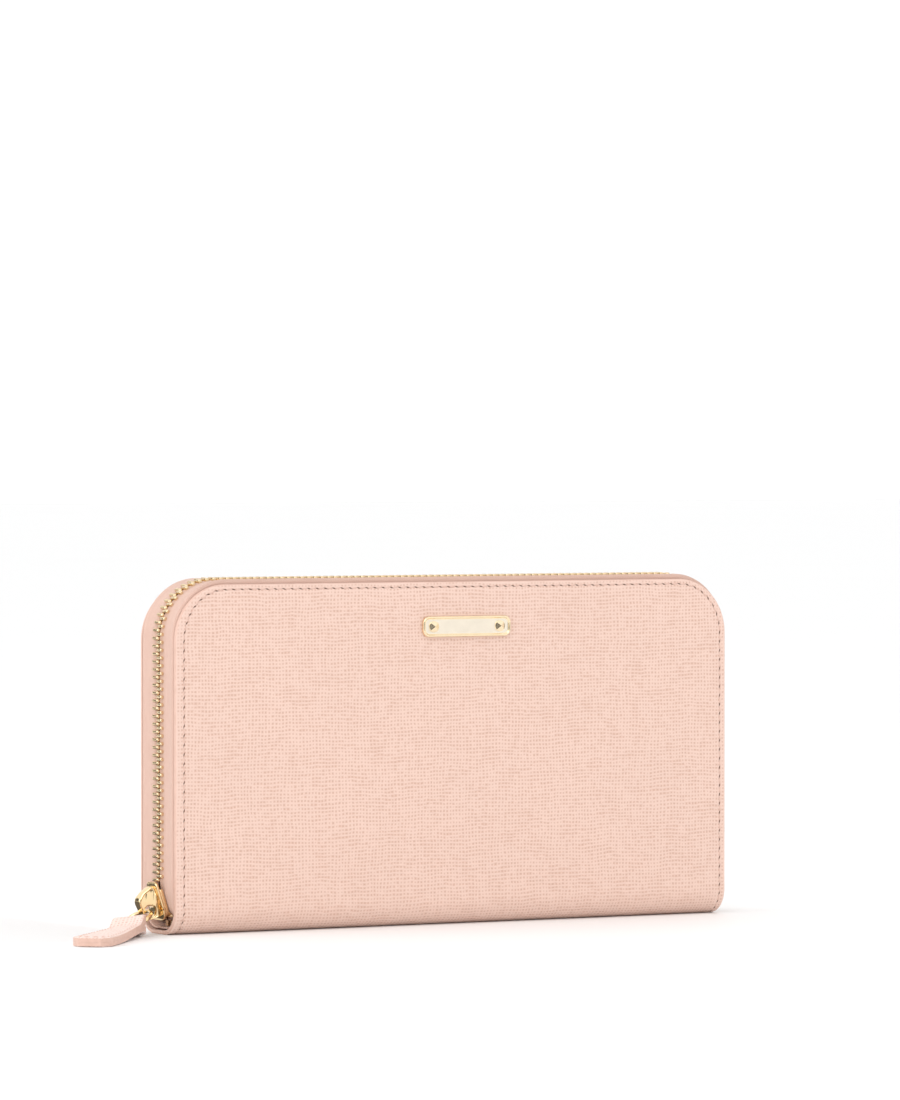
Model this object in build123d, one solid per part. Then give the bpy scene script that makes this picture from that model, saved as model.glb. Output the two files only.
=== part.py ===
from build123d import *
import math
import os

# Zip-around continental wallet, closed and standing on its spine.
# X is the width, -Y the front cover, Z up; the origin is the middle of the spine's resting face.
# All lengths are millimetres and all angles degrees.

# Overall size
WIDTH = 195.0
HEIGHT = 105.0
DEPTH = 22.5
CORNER_R = 17.0
BEND_R = 8.0

# Layers of a cover, from the outside in
LEATHER = 1.2
BOARD = 0.5
LINING = 0.4
HALF_W = WIDTH / 2
OUTER_Y = DEPTH / 2
BOARD_Y = OUTER_Y - LEATHER
LINING_Y = BOARD_Y - BOARD
INNER_Y = LINING_Y - LINING
BEND_Y = OUTER_Y - BEND_R
BOARD_INSET = 7.5
LINING_INSET = 1.0
SPINE_BOARD_HALF_Y = 3.0

# Main zip: woven tape with a metal chain
TAPE = 0.5
TAPE_PROUD_TOP = 0.85
TAPE_HALF_W = HALF_W - 0.25
TAPE_TOP = HEIGHT + TAPE_PROUD_TOP + TAPE / 2
TAPE_CORNER_R = CORNER_R + 0.6
TAPE_FLANGE = 6.9
TAPE_BOTTOM = 9.0
TAPE_EDGE_Y = 1.6
TOOTH_PITCH = 2.34
TOOTH_LENGTH = 1.0
TOOTH_HALF_HEIGHT = 1.1
TOOTH_FOOT_Y = 2.85
TOOTH_HEAD_Y = 0.55
CHAIN_LEFT_END = 17.4
CHAIN_RIGHT_END = 10.4
SLIDER_GAP_TOP = 17.6
SLIDER_GAP_HALF_Y = 6.0
BOTTOM_STOP_HALF_X = 1.0
BOTTOM_STOP_HALF_Y = 1.3
TOP_STOP_X = (-93.6, -92.2)
TOP_STOP_Y = 1.7
TOP_STOP_HALF_Y = 0.8
TOP_STOP_Z = (2.3, 3.9)
END_TAB_LEFT_X = (-91.8, -91.2)
END_TAB_RIGHT_X = (93.4, 94.0)
END_TAB_HALF_Y = 4.3
END_TAB_Z = (2.3, 9.5)

# Zip slider, ring and leather pull
SLIDER_CENTRE = (-96.6, 0.0, 10.4)
SLIDER_TILT = -12.0
SLIDER_HALF_LENGTH = 5.9
CHANNEL_HALF = 1.35
SLIDER_PLATE = 0.95
FLANGE_WALL = 0.8
FLANGE_GAP = 0.45
CROWN_HOLE = (-5.0, -2.5)
CROWN_HOLE_R = 1.85
RING_R = 4.4
RING_WIRE_R = 0.65
RING_YAW = 7.0
RING_DROP = 30.0
PULL_YAW = 46.5
PULL_ON_RING = 32.0
PULL_LENGTH = 47.0
PULL_THICKNESS = 2.8
PULL_NECK_HALF = 2.0
PULL_SHOULDER_HALF = 5.0
PULL_END_HALF = 6.0
PULL_CHAMFER = 2.6
FOLD_OUTER_R = 2.75
FOLD_INNER_R = 2.15
PULL_CORE = 0.4

# Name plate, left blank, with two pyramid studs
PLATE_WIDTH = 31.0
PLATE_HEIGHT = 6.3
PLATE_X = 3.1
PLATE_Z = 91.3
PLATE_BASE = 0.8
PLATE_RIM = 0.35
PLATE_RIM_WIDTH = 0.7
PLATE_CORNER_R = 1.6
STUD_X = 11.7
STUD_PLACES = (PLATE_X - STUD_X, PLATE_X + STUD_X)
STUD_R = 1.7
STUD_SHANK_R = 0.6
STUD_HOLE_R = 0.65
STUD_HEAD = 1.1
WASHER_R = 2.1
WASHER = 0.4
WASHER_HOLE_R = 2.4

# Card slots on the inside of each cover
CARD_BACKING = 0.3
CARD_PANEL = 0.4
CARD_ROWS = 4
CARD_STEP = 11.0
CARD_TOP = 92.0
CARD_BOTTOM = 16.0
CARD_HALF_W = 86.0

# Zipped coin pocket in the middle
POCKET_HALF_W = 84.0
POCKET_TOP = 94.0
POCKET_GAP = 4.5
POCKET_WALL = 0.6
POCKET_BINDING = 0.6
COIN_TAPE = 0.35
COIN_TAPE_BOTTOM = 86.0
COIN_CHAIN_Z = 94.7
COIN_TAPE_EDGE_Y = 1.1
COIN_TOOTH_PITCH = 2.2
COIN_TOOTH_LENGTH = 0.95
COIN_TOOTH_HALF_HEIGHT = 0.9
COIN_TOOTH_FOOT_Y = 1.85
COIN_TOOTH_HEAD_Y = 0.4
COIN_CHAIN_START = -70.0
COIN_CHAIN_END = 74.0
COIN_SLIDER_X = -76.0
COIN_SLIDER_HALF_LENGTH = 4.0
COIN_BRIDGE_Z = 97.4
COIN_PULL_LENGTH = 6.5

# Folded gussets between each cover and the coin pocket
GUSSET_BOTTOM = 12.0
GUSSET_TOP = 84.0
GUSSET_TIP_X = 74.4
GUSSET_COVER_X = 90.5
GUSSET_POCKET_X = 88.0


def save(name, *shapes):
    """Write one node: a single solid, or a group of separate ones."""
    solids = [solid for shape in shapes for solid in shape.solids()]
    piece = solids[0] if len(solids) == 1 else Compound(children=solids)
    export_step(piece, os.path.join("parts", name + ".step"))


def box(x0, x1, y0, y1, z0, z1):
    """Box between two corners."""
    centre = ((x0 + x1) / 2, (y0 + y1) / 2, (z0 + z1) / 2)
    return Pos(*centre) * Box(x1 - x0, y1 - y0, z1 - z0)


def to_back(shape):
    """The same piece on the back cover."""
    return mirror(shape, about=Plane.XZ)


def rod_y(x, z, radius, y0, y1):
    """Round bar along Y."""
    return Pos(x, (y0 + y1) / 2, z) * Rot(90, 0, 0) * Cylinder(radius, y1 - y0)


def panel(half_w, z0, z1, radius, y0, y1):
    """Upright sheet between two depths, with rounded top corners."""
    outline = Rectangle(2 * half_w, z1 - z0)
    outline = fillet(outline.vertices().group_by(Axis.Y)[-1], radius)
    return Pos(0, y1, (z0 + z1) / 2) * Rot(90, 0, 0) * extrude(outline, y1 - y0)


def channel(radius, wall):
    """Bottom bend of the wallet, one layer of it, over the whole width."""
    face = make_face(
        Curve()
        + [
            CenterArc((-BEND_Y, BEND_R), radius, 180, 90),
            Line((-BEND_Y, BEND_R - radius), (BEND_Y, BEND_R - radius)),
            CenterArc((BEND_Y, BEND_R), radius, 270, 90),
            Line((BEND_Y + radius, BEND_R), (BEND_Y + radius - wall, BEND_R)),
            CenterArc((BEND_Y, BEND_R), radius - wall, 0, -90),
            Line((BEND_Y, BEND_R - radius + wall), (-BEND_Y, BEND_R - radius + wall)),
            CenterArc((-BEND_Y, BEND_R), radius - wall, 270, -90),
            Line((wall - BEND_Y - radius, BEND_R), (-BEND_Y - radius, BEND_R)),
        ]
    )
    return face


def outer_leather():
    """Front, spine and back stretches of the one outer hide."""
    front = panel(HALF_W, BEND_R, HEIGHT, CORNER_R, -OUTER_Y, -BOARD_Y)
    back = to_back(front)
    for x in STUD_PLACES:
        front -= rod_y(x, PLATE_Z, STUD_HOLE_R, -OUTER_Y - 1, -BOARD_Y + 1)
    save("outer_leather_front", front)
    save("outer_leather_back", back)
    save("outer_leather_spine", extrude(Plane.YZ * channel(BEND_R, LEATHER), HALF_W, both=True))


def boards():
    """Stiffening boards sealed between the leather and the lining."""
    half_w = HALF_W - BOARD_INSET
    top = HEIGHT - BOARD_INSET
    front = panel(half_w, BEND_R + 1, top, CORNER_R - 5, -BOARD_Y, -LINING_Y)
    save("stiffener_back", to_back(front))
    for x in STUD_PLACES:
        front -= rod_y(x, PLATE_Z, WASHER_HOLE_R, -BOARD_Y - 1, -LINING_Y + 1)
    save("stiffener_front", front)
    low = LEATHER
    save("stiffener_spine", box(-half_w, half_w, -SPINE_BOARD_HALF_Y, SPINE_BOARD_HALF_Y, low, low + BOARD))


def linings():
    """Leather lining of both covers and of the spine."""
    half_w = HALF_W - LINING_INSET
    front = panel(half_w, BEND_R, HEIGHT - 0.5, CORNER_R - 0.5, -LINING_Y, -INNER_Y)
    save("lining_front", front)
    save("lining_back", to_back(front))
    spine = extrude(Plane.YZ * channel(BEND_R - LEATHER - BOARD, LINING), half_w, both=True)
    save("lining_spine", spine)


def zip_tapes():
    """Tape: a sewn flange under the cover's edge and a strip that turns in to the chain."""
    outer = panel(TAPE_HALF_W, TAPE_BOTTOM, TAPE_TOP, TAPE_CORNER_R, -BOARD_Y, -TAPE_EDGE_Y)
    inside_strip = panel(
        TAPE_HALF_W - TAPE, TAPE_BOTTOM - 1, TAPE_TOP - TAPE, TAPE_CORNER_R - TAPE, -LINING_Y, 0
    )
    inside_flange = panel(
        TAPE_HALF_W - TAPE_FLANGE, TAPE_BOTTOM - 1, TAPE_TOP - TAPE_FLANGE - TAPE_PROUD_TOP,
        TAPE_CORNER_R - TAPE_FLANGE, -BOARD_Y - 1, 0,
    )
    front = outer - inside_strip - inside_flange
    gap = SLIDER_GAP_HALF_Y
    front -= box(-HALF_W - 2, -HALF_W + 8, -gap, gap, 0, SLIDER_GAP_TOP)
    save("zip_tape_front", front)
    save("zip_tape_back", to_back(front))


def tooth(half_height, foot, edge, head, slot, length):
    """One tooth: two legs astride the tape's edge and a head past the middle line."""
    profile = Polyline(
        (-foot, half_height), (-foot, slot), (-edge, slot), (-edge, -slot), (-foot, -slot),
        (-foot, -half_height), (0, -half_height), (head, -0.55 * half_height),
        (head, 0.55 * half_height), (0, half_height), close=True,
    )
    return extrude(Plane.YZ * make_face(profile), length / 2, both=True)


def chain_place(distance):
    """Place on the chain's line: up the left side, over the top and down the right side."""
    half_w = TAPE_HALF_W - TAPE / 2
    top = TAPE_TOP - TAPE / 2
    radius = TAPE_CORNER_R - TAPE / 2
    corner_x = half_w - radius
    corner_z = top - radius
    side = corner_z - CHAIN_LEFT_END
    arc = radius * math.pi / 2
    if distance < side:
        return Pos(-half_w, 0, CHAIN_LEFT_END + distance) * Rot(0, -90, 0)
    distance -= side
    if distance < arc:
        angle = math.degrees(distance / radius)
        return Pos(-corner_x, 0, corner_z) * Rot(0, angle - 90, 0) * Pos(0, 0, radius)
    distance -= arc
    if distance < 2 * corner_x:
        return Pos(distance - corner_x, 0, top)
    distance -= 2 * corner_x
    if distance < arc:
        angle = math.degrees(distance / radius)
        return Pos(corner_x, 0, corner_z) * Rot(0, angle, 0) * Pos(0, 0, radius)
    return Pos(half_w, 0, corner_z - distance + arc) * Rot(0, 90, 0)


def chain_length():
    """Length of the line that the teeth stand on."""
    half_w = TAPE_HALF_W - TAPE / 2
    radius = TAPE_CORNER_R - TAPE / 2
    corner_z = TAPE_TOP - TAPE / 2 - radius
    sides = 2 * corner_z - CHAIN_LEFT_END - CHAIN_RIGHT_END
    return sides + math.pi * radius + 2 * (half_w - radius)


def zip_chain():
    """Both rows of metal teeth, and the stops at their ends."""
    front_tooth = tooth(
        TOOTH_HALF_HEIGHT, TOOTH_FOOT_Y, TAPE_EDGE_Y - 0.02, TOOTH_HEAD_Y, TAPE / 2 + 0.03, TOOTH_LENGTH
    )
    back_tooth = to_back(front_tooth)
    count = int(chain_length() / TOOTH_PITCH - 0.5)
    save("zip_teeth_front", *[chain_place(k * TOOTH_PITCH) * front_tooth for k in range(count)])
    save("zip_teeth_back", *[chain_place((k + 0.5) * TOOTH_PITCH) * back_tooth for k in range(count)])
    right = TAPE_HALF_W - TAPE / 2
    half_x = BOTTOM_STOP_HALF_X
    half_y = BOTTOM_STOP_HALF_Y
    low = TAPE_BOTTOM - 0.6
    save("zip_bottom_stop", box(right - half_x, right + half_x, -half_y, half_y, low, low + 1))
    half_y = TOP_STOP_HALF_Y
    stops = [box(*TOP_STOP_X, y - half_y, y + half_y, *TOP_STOP_Z) for y in (-TOP_STOP_Y, TOP_STOP_Y)]
    save("zip_top_stops", *stops)


def zip_end_tabs():
    """Folded tape ends that close the two bottom corners of the zip."""
    save("zip_end_tab_left", box(*END_TAB_LEFT_X, -END_TAB_HALF_Y, END_TAB_HALF_Y, *END_TAB_Z))
    save("zip_end_tab_right", box(*END_TAB_RIGHT_X, -END_TAB_HALF_Y, END_TAB_HALF_Y, *END_TAB_Z))


def slider_frame():
    """The slider's own frame: -X out of the wallet, +Z along the chain."""
    return Pos(*SLIDER_CENTRE) * Rot(0, SLIDER_TILT, 0)


def slider_outline():
    """Plan of the slider's plates: narrow nose above, wide shoulders below."""
    half = SLIDER_HALF_LENGTH
    points = [(-2.6, half), (2.6, half), (3.1, half - 0.8), (4.9, -3.2), (4.6, -4.8), (3.4, -half),
              (-3.4, -half), (-4.6, -4.8), (-4.9, -3.2), (-3.1, half - 0.8)]
    return make_face(Polyline(*points, close=True))


def layer(outline, out_from, out_to):
    """Slider layer: a plan extruded between two heights out of the wallet."""
    return Pos(-out_to, 0, 0) * extrude(Plane.YZ * outline, out_to - out_from)


def slider_body():
    """Two plates, side flanges that leave the tape's slot, and the wedge that parts the rows."""
    top = CHANNEL_HALF + SLIDER_PLATE
    outline = slider_outline()
    plates = layer(outline, CHANNEL_HALF, top) + layer(outline, -top, -CHANNEL_HALF)
    wall = outline - offset(outline, -FLANGE_WALL)
    flanges = layer(wall, FLANGE_GAP, CHANNEL_HALF) + layer(wall, -CHANNEL_HALF, -FLANGE_GAP)
    flanges -= box(-3, 3, -2.5, 2.5, 3, 8)
    flanges -= box(-3, 3, -3.6, 3.6, -8, -4.5)
    wedge = make_face(Polyline((0, -0.6), (1.5, -4.2), (1.1, -5.7), (-1.1, -5.7), (-1.5, -4.2), close=True))
    body = plates + flanges + layer(wedge, -CHANNEL_HALF, CHANNEL_HALF)
    save("slider_body", slider_frame() * body)


def slider_crown():
    """Bell-shaped bridge over the slider, with the cross hole that holds the ring."""
    base = CHANNEL_HALF + SLIDER_PLATE
    side = make_face(Polyline(
        (-base, 4.9), (-3.5, 4.7), (-6.4, 3.4), (-8.0, 1.9), (-8.2, 0.6), (-7.0, -4.0),
        (-5.8, -5.0), (-base, -4.8), close=True,
    ))
    bell = make_face(Polyline(
        (-1.2, 5.2), (1.2, 5.2), (1.5, 3.4), (2.4, 2.0), (2.5, 1.0), (1.9, -1.0), (1.8, -5.4),
        (-1.8, -5.4), (-1.9, -1.0), (-2.5, 1.0), (-2.4, 2.0), (-1.5, 3.4), close=True,
    ))
    crown = extrude(Plane.XZ * side, 4, both=True) & layer(bell, base, 9)
    crown -= rod_y(*CROWN_HOLE, CROWN_HOLE_R, -4, 4)
    save("slider_crown", slider_frame() * crown)


def hole_centre():
    """Middle of the crown's hole, where the ring's wire passes."""
    place = slider_frame() * Pos(CROWN_HOLE[0], 0, CROWN_HOLE[1])
    return place.position


def heading(yaw):
    """Level direction out of the left side, turned towards the front by yaw."""
    angle = math.radians(yaw)
    return Vector(-math.cos(angle), -math.sin(angle), 0)


def ring_axes():
    """The ring's swing axis, and the direction from the crown's hole to its far side."""
    drop = math.radians(RING_DROP)
    out = heading(RING_YAW)
    down = out * math.cos(drop) + Vector(0, 0, -math.sin(drop))
    across = Vector(0, 0, 1).cross(out)
    return across, down


def ring_centre():
    """Middle of the ring."""
    _, down = ring_axes()
    return hole_centre() + down * RING_R


def pull_pivot():
    """Point of the ring's wire that the pull folds round."""
    across, down = ring_axes()
    angle = math.radians(PULL_ON_RING)
    return ring_centre() + (down * math.cos(angle) + across * math.sin(angle)) * RING_R


def ring():
    """Round wire ring through the crown."""
    across, down = ring_axes()
    plane = Plane(origin=ring_centre(), x_dir=down, z_dir=across.cross(down))
    save("pull_ring", plane * Torus(RING_R, RING_WIRE_R))


def pull():
    """Leather strap folded round the ring and sewn flat, with a filler between its layers."""
    pivot = pull_pivot()
    floor = -pivot.Z + 0.05
    top = floor + PULL_THICKNESS
    plane = Plane(origin=pivot, x_dir=heading(PULL_YAW), z_dir=(0, 0, 1))
    body = Polyline((0, FOLD_OUTER_R), (12, top), (PULL_LENGTH, top), (PULL_LENGTH, floor),
                    (0, -FOLD_OUTER_R), close=True)
    cavity = Polyline((0, FOLD_INNER_R), (7.5, -0.7), (0, -FOLD_INNER_R), close=True)
    profile = make_face(body) + Circle(FOLD_OUTER_R) - Circle(FOLD_INNER_R) - make_face(cavity)
    half_plan = [(-3.5, PULL_NECK_HALF), (1.8, PULL_NECK_HALF), (3.8, PULL_SHOULDER_HALF),
                 (PULL_LENGTH - 3.6, PULL_END_HALF), (PULL_LENGTH, PULL_END_HALF - PULL_CHAMFER)]
    plan = half_plan + [(x, -y) for x, y in reversed(half_plan)]
    sides = extrude(make_face(Polyline(*plan, close=True)), 6, both=True)
    strap = extrude(Plane.XZ * profile, 8, both=True) & sides
    middle = (top + floor) / 2
    core = box(12, PULL_LENGTH - 4, -3.8, 3.8, middle - PULL_CORE / 2, middle + PULL_CORE / 2)
    save("pull_leather", plane * (strap - core))
    save("pull_filler", plane * core)


def name_plate():
    """Blank plate with a raised rim, its two studs and the washers behind the leather."""
    outline = RectangleRounded(PLATE_WIDTH, PLATE_HEIGHT, PLATE_CORNER_R)
    rim = outline - offset(outline, -PLATE_RIM_WIDTH)
    plate = extrude(outline, PLATE_BASE) + extrude(rim, PLATE_BASE + PLATE_RIM)
    plate = Pos(PLATE_X, -OUTER_Y, PLATE_Z) * Rot(90, 0, 0) * plate
    studs = []
    washers = []
    face = -OUTER_Y - PLATE_BASE
    for x in STUD_PLACES:
        plate -= rod_y(x, PLATE_Z, STUD_HOLE_R, face - 1, -OUTER_Y + 1)
        head = Pos(x, face, PLATE_Z) * Rot(90, 0, 0) * Pos(0, 0, STUD_HEAD / 2) * Rot(0, 0, 45) * Cone(
            STUD_R, 0.2, STUD_HEAD
        )
        studs.append(head + rod_y(x, PLATE_Z, STUD_SHANK_R, face, -LINING_Y))
        washer = rod_y(x, PLATE_Z, WASHER_R, -BOARD_Y, -BOARD_Y + WASHER)
        washers.append(washer - rod_y(x, PLATE_Z, STUD_HOLE_R, -BOARD_Y - 1, -LINING_Y + 1))
    save("name_plate", plate)
    save("plate_studs", *studs)
    save("plate_washers", *washers)


def card_slots():
    """Backing and stepped card slot panels of each cover."""
    back_y = -INNER_Y + CARD_BACKING
    backing = panel(CARD_HALF_W + 2, CARD_BOTTOM - 2, CARD_TOP + 6, 8, -INNER_Y, back_y)
    save("card_backing_front", backing)
    save("card_backing_back", to_back(backing))
    for row in range(CARD_ROWS):
        near = back_y + row * CARD_PANEL
        top = CARD_TOP - row * CARD_STEP
        sheet = panel(CARD_HALF_W, CARD_BOTTOM, top, 2, near, near + CARD_PANEL)
        save(f"card_slot_front_{row + 1}", sheet)
        save(f"card_slot_back_{row + 1}", to_back(sheet))


def coin_pocket():
    """Two walls and the strip that joins them at the sides and the bottom."""
    gap = POCKET_GAP / 2
    low = LEATHER + BOARD + LINING
    front = panel(POCKET_HALF_W, low, POCKET_TOP, 3, -gap - POCKET_WALL, -gap)
    save("coin_pocket_front", front)
    save("coin_pocket_back", to_back(front))
    inner_w = POCKET_HALF_W - POCKET_BINDING
    strip = box(-POCKET_HALF_W, POCKET_HALF_W, -gap, gap, low, COIN_TAPE_BOTTOM - 0.5)
    strip -= box(-inner_w, inner_w, -gap - 1, gap + 1, low + POCKET_BINDING, COIN_TAPE_BOTTOM)
    save("coin_pocket_binding", strip)


def coin_zip():
    """Tapes, teeth, slider and puller of the coin pocket."""
    gap = POCKET_GAP / 2
    upright = box(-82, 82, -gap, -gap + COIN_TAPE, COIN_TAPE_BOTTOM, COIN_CHAIN_Z + COIN_TAPE / 2)
    turned = box(-82, 82, -gap, -COIN_TAPE_EDGE_Y, COIN_CHAIN_Z - COIN_TAPE / 2, COIN_CHAIN_Z + COIN_TAPE / 2)
    turned -= box(-83, COIN_CHAIN_START - 1, -gap + COIN_TAPE, 0, 90, 99)
    tape = upright + turned
    save("coin_zip_tape_front", tape)
    save("coin_zip_tape_back", to_back(tape))
    front_tooth = tooth(
        COIN_TOOTH_HALF_HEIGHT, COIN_TOOTH_FOOT_Y, COIN_TAPE_EDGE_Y, COIN_TOOTH_HEAD_Y,
        COIN_TAPE / 2, COIN_TOOTH_LENGTH,
    )
    back_tooth = to_back(front_tooth)
    count = int((COIN_CHAIN_END - COIN_CHAIN_START) / COIN_TOOTH_PITCH)
    places = [COIN_CHAIN_START + k * COIN_TOOTH_PITCH for k in range(count)]
    half = COIN_TOOTH_PITCH / 2
    save("coin_zip_teeth_front", *[Pos(x, 0, COIN_CHAIN_Z) * front_tooth for x in places])
    save("coin_zip_teeth_back", *[Pos(x + half, 0, COIN_CHAIN_Z) * back_tooth for x in places])
    coin_slider()


def coin_slider():
    """Slider and swinging puller of the coin pocket, parked at the closed end."""
    x0 = COIN_SLIDER_X - COIN_SLIDER_HALF_LENGTH
    x1 = COIN_SLIDER_X + COIN_SLIDER_HALF_LENGTH
    channel_top = COIN_CHAIN_Z + COIN_TOOTH_HALF_HEIGHT + 0.2
    channel_low = COIN_CHAIN_Z - COIN_TOOTH_HALF_HEIGHT - 0.2
    upper = box(x0, x1, -2.7, 2.7, channel_top, channel_top + 0.7)
    lower = box(x0, x1, -1.5, 1.5, channel_low - 0.7, channel_low)
    wedge = box(x0 + 0.5, x0 + 2.5, -0.7, 0.7, channel_low, channel_top)
    bridge_top = COIN_BRIDGE_Z + 1.3
    bridge = box(x0 + 1.2, x1 - 1.2, -0.9, 0.9, channel_top + 0.7, bridge_top)
    bridge -= rod_y(COIN_SLIDER_X, COIN_BRIDGE_Z + 0.1, 0.75, -2, 2)
    save("coin_slider", upper + lower + wedge + bridge)
    pin = rod_y(COIN_SLIDER_X, COIN_BRIDGE_Z + 0.1, 0.5, -1.8, 1.8)
    cheeks = [box(COIN_SLIDER_X - 0.6, COIN_SLIDER_X + COIN_PULL_LENGTH, y - 0.35, y + 0.35,
                  COIN_BRIDGE_Z - 0.4, COIN_BRIDGE_Z + 0.6) for y in (-1.55, 1.55)]
    tip = box(COIN_SLIDER_X + 3.6, COIN_SLIDER_X + COIN_PULL_LENGTH, -1.9, 1.9,
              COIN_BRIDGE_Z - 0.4, COIN_BRIDGE_Z + 0.6)
    save("coin_pull", pin + cheeks[0] + cheeks[1] + tip)


def gussets():
    """Folded sides of the two note compartments."""
    card_face = INNER_Y - CARD_BACKING - CARD_ROWS * CARD_PANEL
    pocket_face = POCKET_GAP / 2 + POCKET_WALL
    cover_y = card_face - 0.15
    pocket_y = pocket_face + 0.15
    middle = (cover_y + pocket_y) / 2
    fold = Polyline(
        (GUSSET_COVER_X, -cover_y), (GUSSET_COVER_X, -cover_y + 0.35), (GUSSET_TIP_X + 1.8, -middle),
        (GUSSET_POCKET_X, -pocket_y - 0.35), (GUSSET_POCKET_X, -pocket_y), (GUSSET_TIP_X, -middle),
        close=True,
    )
    right = Pos(0, 0, GUSSET_BOTTOM) * extrude(make_face(fold), GUSSET_TOP - GUSSET_BOTTOM)
    left = mirror(right, about=Plane.YZ)
    save("gusset_front_right", right)
    save("gusset_front_left", left)
    save("gusset_back_right", to_back(right))
    save("gusset_back_left", to_back(left))


os.makedirs("parts", exist_ok=True)
outer_leather()
boards()
linings()
zip_tapes()
zip_chain()
zip_end_tabs()
slider_body()
slider_crown()
ring()
pull()
name_plate()
card_slots()
coin_pocket()
coin_zip()
gussets()
print("crown hole", hole_centre())
print("ring axis", ring_axes()[0])
print("pull pivot", pull_pivot())
print("pull heading", heading(PULL_YAW))
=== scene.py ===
import bpy
import math
from mathutils import Matrix, Vector, noise


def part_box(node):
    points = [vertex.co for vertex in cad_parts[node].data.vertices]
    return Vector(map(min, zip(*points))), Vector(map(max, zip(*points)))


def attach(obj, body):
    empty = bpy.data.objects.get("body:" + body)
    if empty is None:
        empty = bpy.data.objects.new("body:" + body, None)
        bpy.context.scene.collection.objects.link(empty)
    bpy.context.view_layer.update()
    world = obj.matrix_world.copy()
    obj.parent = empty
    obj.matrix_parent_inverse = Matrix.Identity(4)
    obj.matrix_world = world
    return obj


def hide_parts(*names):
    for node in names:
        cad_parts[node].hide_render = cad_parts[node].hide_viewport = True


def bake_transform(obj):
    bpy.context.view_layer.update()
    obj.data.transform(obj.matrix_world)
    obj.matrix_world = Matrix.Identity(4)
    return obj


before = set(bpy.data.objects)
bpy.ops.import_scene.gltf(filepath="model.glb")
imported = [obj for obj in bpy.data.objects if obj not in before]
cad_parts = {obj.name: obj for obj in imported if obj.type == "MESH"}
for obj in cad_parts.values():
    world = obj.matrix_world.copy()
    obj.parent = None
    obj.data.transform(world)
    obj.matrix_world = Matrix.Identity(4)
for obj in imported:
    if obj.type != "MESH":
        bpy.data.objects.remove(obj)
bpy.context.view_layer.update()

# Zip-around wallet in embossed calf. Lengths are millimetres, turned to metres when a mesh is made.
# A cover layer is laid out flat as (x, s): s starts at the spine's middle line, goes round the bend and up.
MM = 0.001
FRONT, BACK = -1, 1
COVERS = {FRONT: "front", BACK: "back"}


def corners(node):
    """Lowest and highest corner of a CAD node, in millimetres."""
    low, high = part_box(node)
    return low / MM, high / MM


# Cover and bend
HIDE_LOW, HIDE_HIGH = corners("outer_leather_front")
HALF_W = HIDE_HIGH.x
TOP = HIDE_HIGH.z
OUTER_Y = -HIDE_LOW.y
LEATHER = HIDE_HIGH.y - HIDE_LOW.y
BEND_R = HIDE_LOW.z
CORNER_R = 17.0
FLAT = OUTER_Y - BEND_R
ARC = BEND_R * math.pi / 2
LINING_LOW, LINING_HIGH = corners("lining_front")
LINING_DEPTH = OUTER_Y + LINING_LOW.y
LINING = LINING_HIGH.y - LINING_LOW.y

# Stitching
STITCH_PITCH = 2.85
STITCH_INSET_LEFT = 2.9
STITCH_INSET_TOP = 1.6
STITCH_INSET_RIGHT = 2.1
THREAD_R = 0.15
STEPS_PER_STITCH = 4

# Zip
TAPE_LOW, TAPE_HIGH = corners("zip_tape_front")
TAPE_HALF_W = TAPE_HIGH.x
TAPE_TOP = TAPE_HIGH.z
TAPE_CORNER_R = 17.6
TAPE = 0.5
TOOTH_PITCH = 2.34
CHAIN_LEFT_END = 17.4
CHAIN_RIGHT_END = 10.4
SLIDER_TILT = math.radians(-12.0)
SLIDER_LEAN = math.tan(-SLIDER_TILT)
SLIDER_CENTRE = Vector((-96.6, 0.0, 10.4))

# Pitch of the tape's ribs and of the embossed grain
TAPE_RIB = 1.7
GRAIN_X = 1.15
GRAIN_S = 1.12

# Colours, linear
CALF_RIDGE = (0.825, 0.595, 0.505)
# Pit colour of the calf: painted shade in the embossed pits
CALF_PIT_SHADE = (0.635, 0.40, 0.31)
PULL_RIDGE = (0.86, 0.67, 0.60)
# Pit colour of the pull: painted shade in the embossed pits
PULL_PIT_SHADE = (0.66, 0.45, 0.38)
EDGE_PAINT = (0.72, 0.485, 0.40)
TAPE_PINK = (0.86, 0.63, 0.53)
# Darker tape colour: painted shade between the yarns, and the yarns' own darker streaks
TAPE_SHADE_AND_STREAK = (0.56, 0.34, 0.27)
THREAD = (0.80, 0.56, 0.47)
GOLD = (0.95, 0.73, 0.42)
PALE_GOLD = (0.96, 0.80, 0.55)
LINING_TAN = (0.78, 0.55, 0.46)
BOARD_GREY = (0.42, 0.38, 0.34)
BOARD_FIBRE = (0.50, 0.46, 0.42)
EDGE_PAINT_WORN = (0.66, 0.435, 0.35)
# Colour of the stitch holes: painted shade inside them
STITCH_HOLE_SHADE = (0.16, 0.075, 0.045)
# Colour beside the teeth: painted shadow of the teeth and painted reflection of their gold
TEETH_SHADOW_AND_REFLECTION = (0.62, 0.40, 0.29)
CARD_TAN = (0.82, 0.58, 0.49)
TOOTH_BRASS = (0.82, 0.64, 0.41)
SATIN_BRASS = (0.93, 0.84, 0.70)


# ---------------------------------------------------------------- scene helpers

def placed(name, data):
    """New object of the scene."""
    made = bpy.data.objects.new(name, data)
    bpy.context.scene.collection.objects.link(made)
    return made


def aimed(made, place, towards, axis):
    """Moves an object and turns one of its axes to a point."""
    made.location = place
    made.rotation_mode = "QUATERNION"
    made.rotation_quaternion = (Vector(towards) - Vector(place)).to_track_quat(axis, "Y")


def flat_mesh(name, w, h):
    """Level rectangle from its half width and half height."""
    mesh = bpy.data.meshes.new(name)
    mesh.from_pydata([(-w, -h, 0), (w, -h, 0), (w, h, 0), (-w, h, 0)], [], [(0, 1, 2, 3)])
    return mesh


# ---------------------------------------------------------------- node helpers

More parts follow.
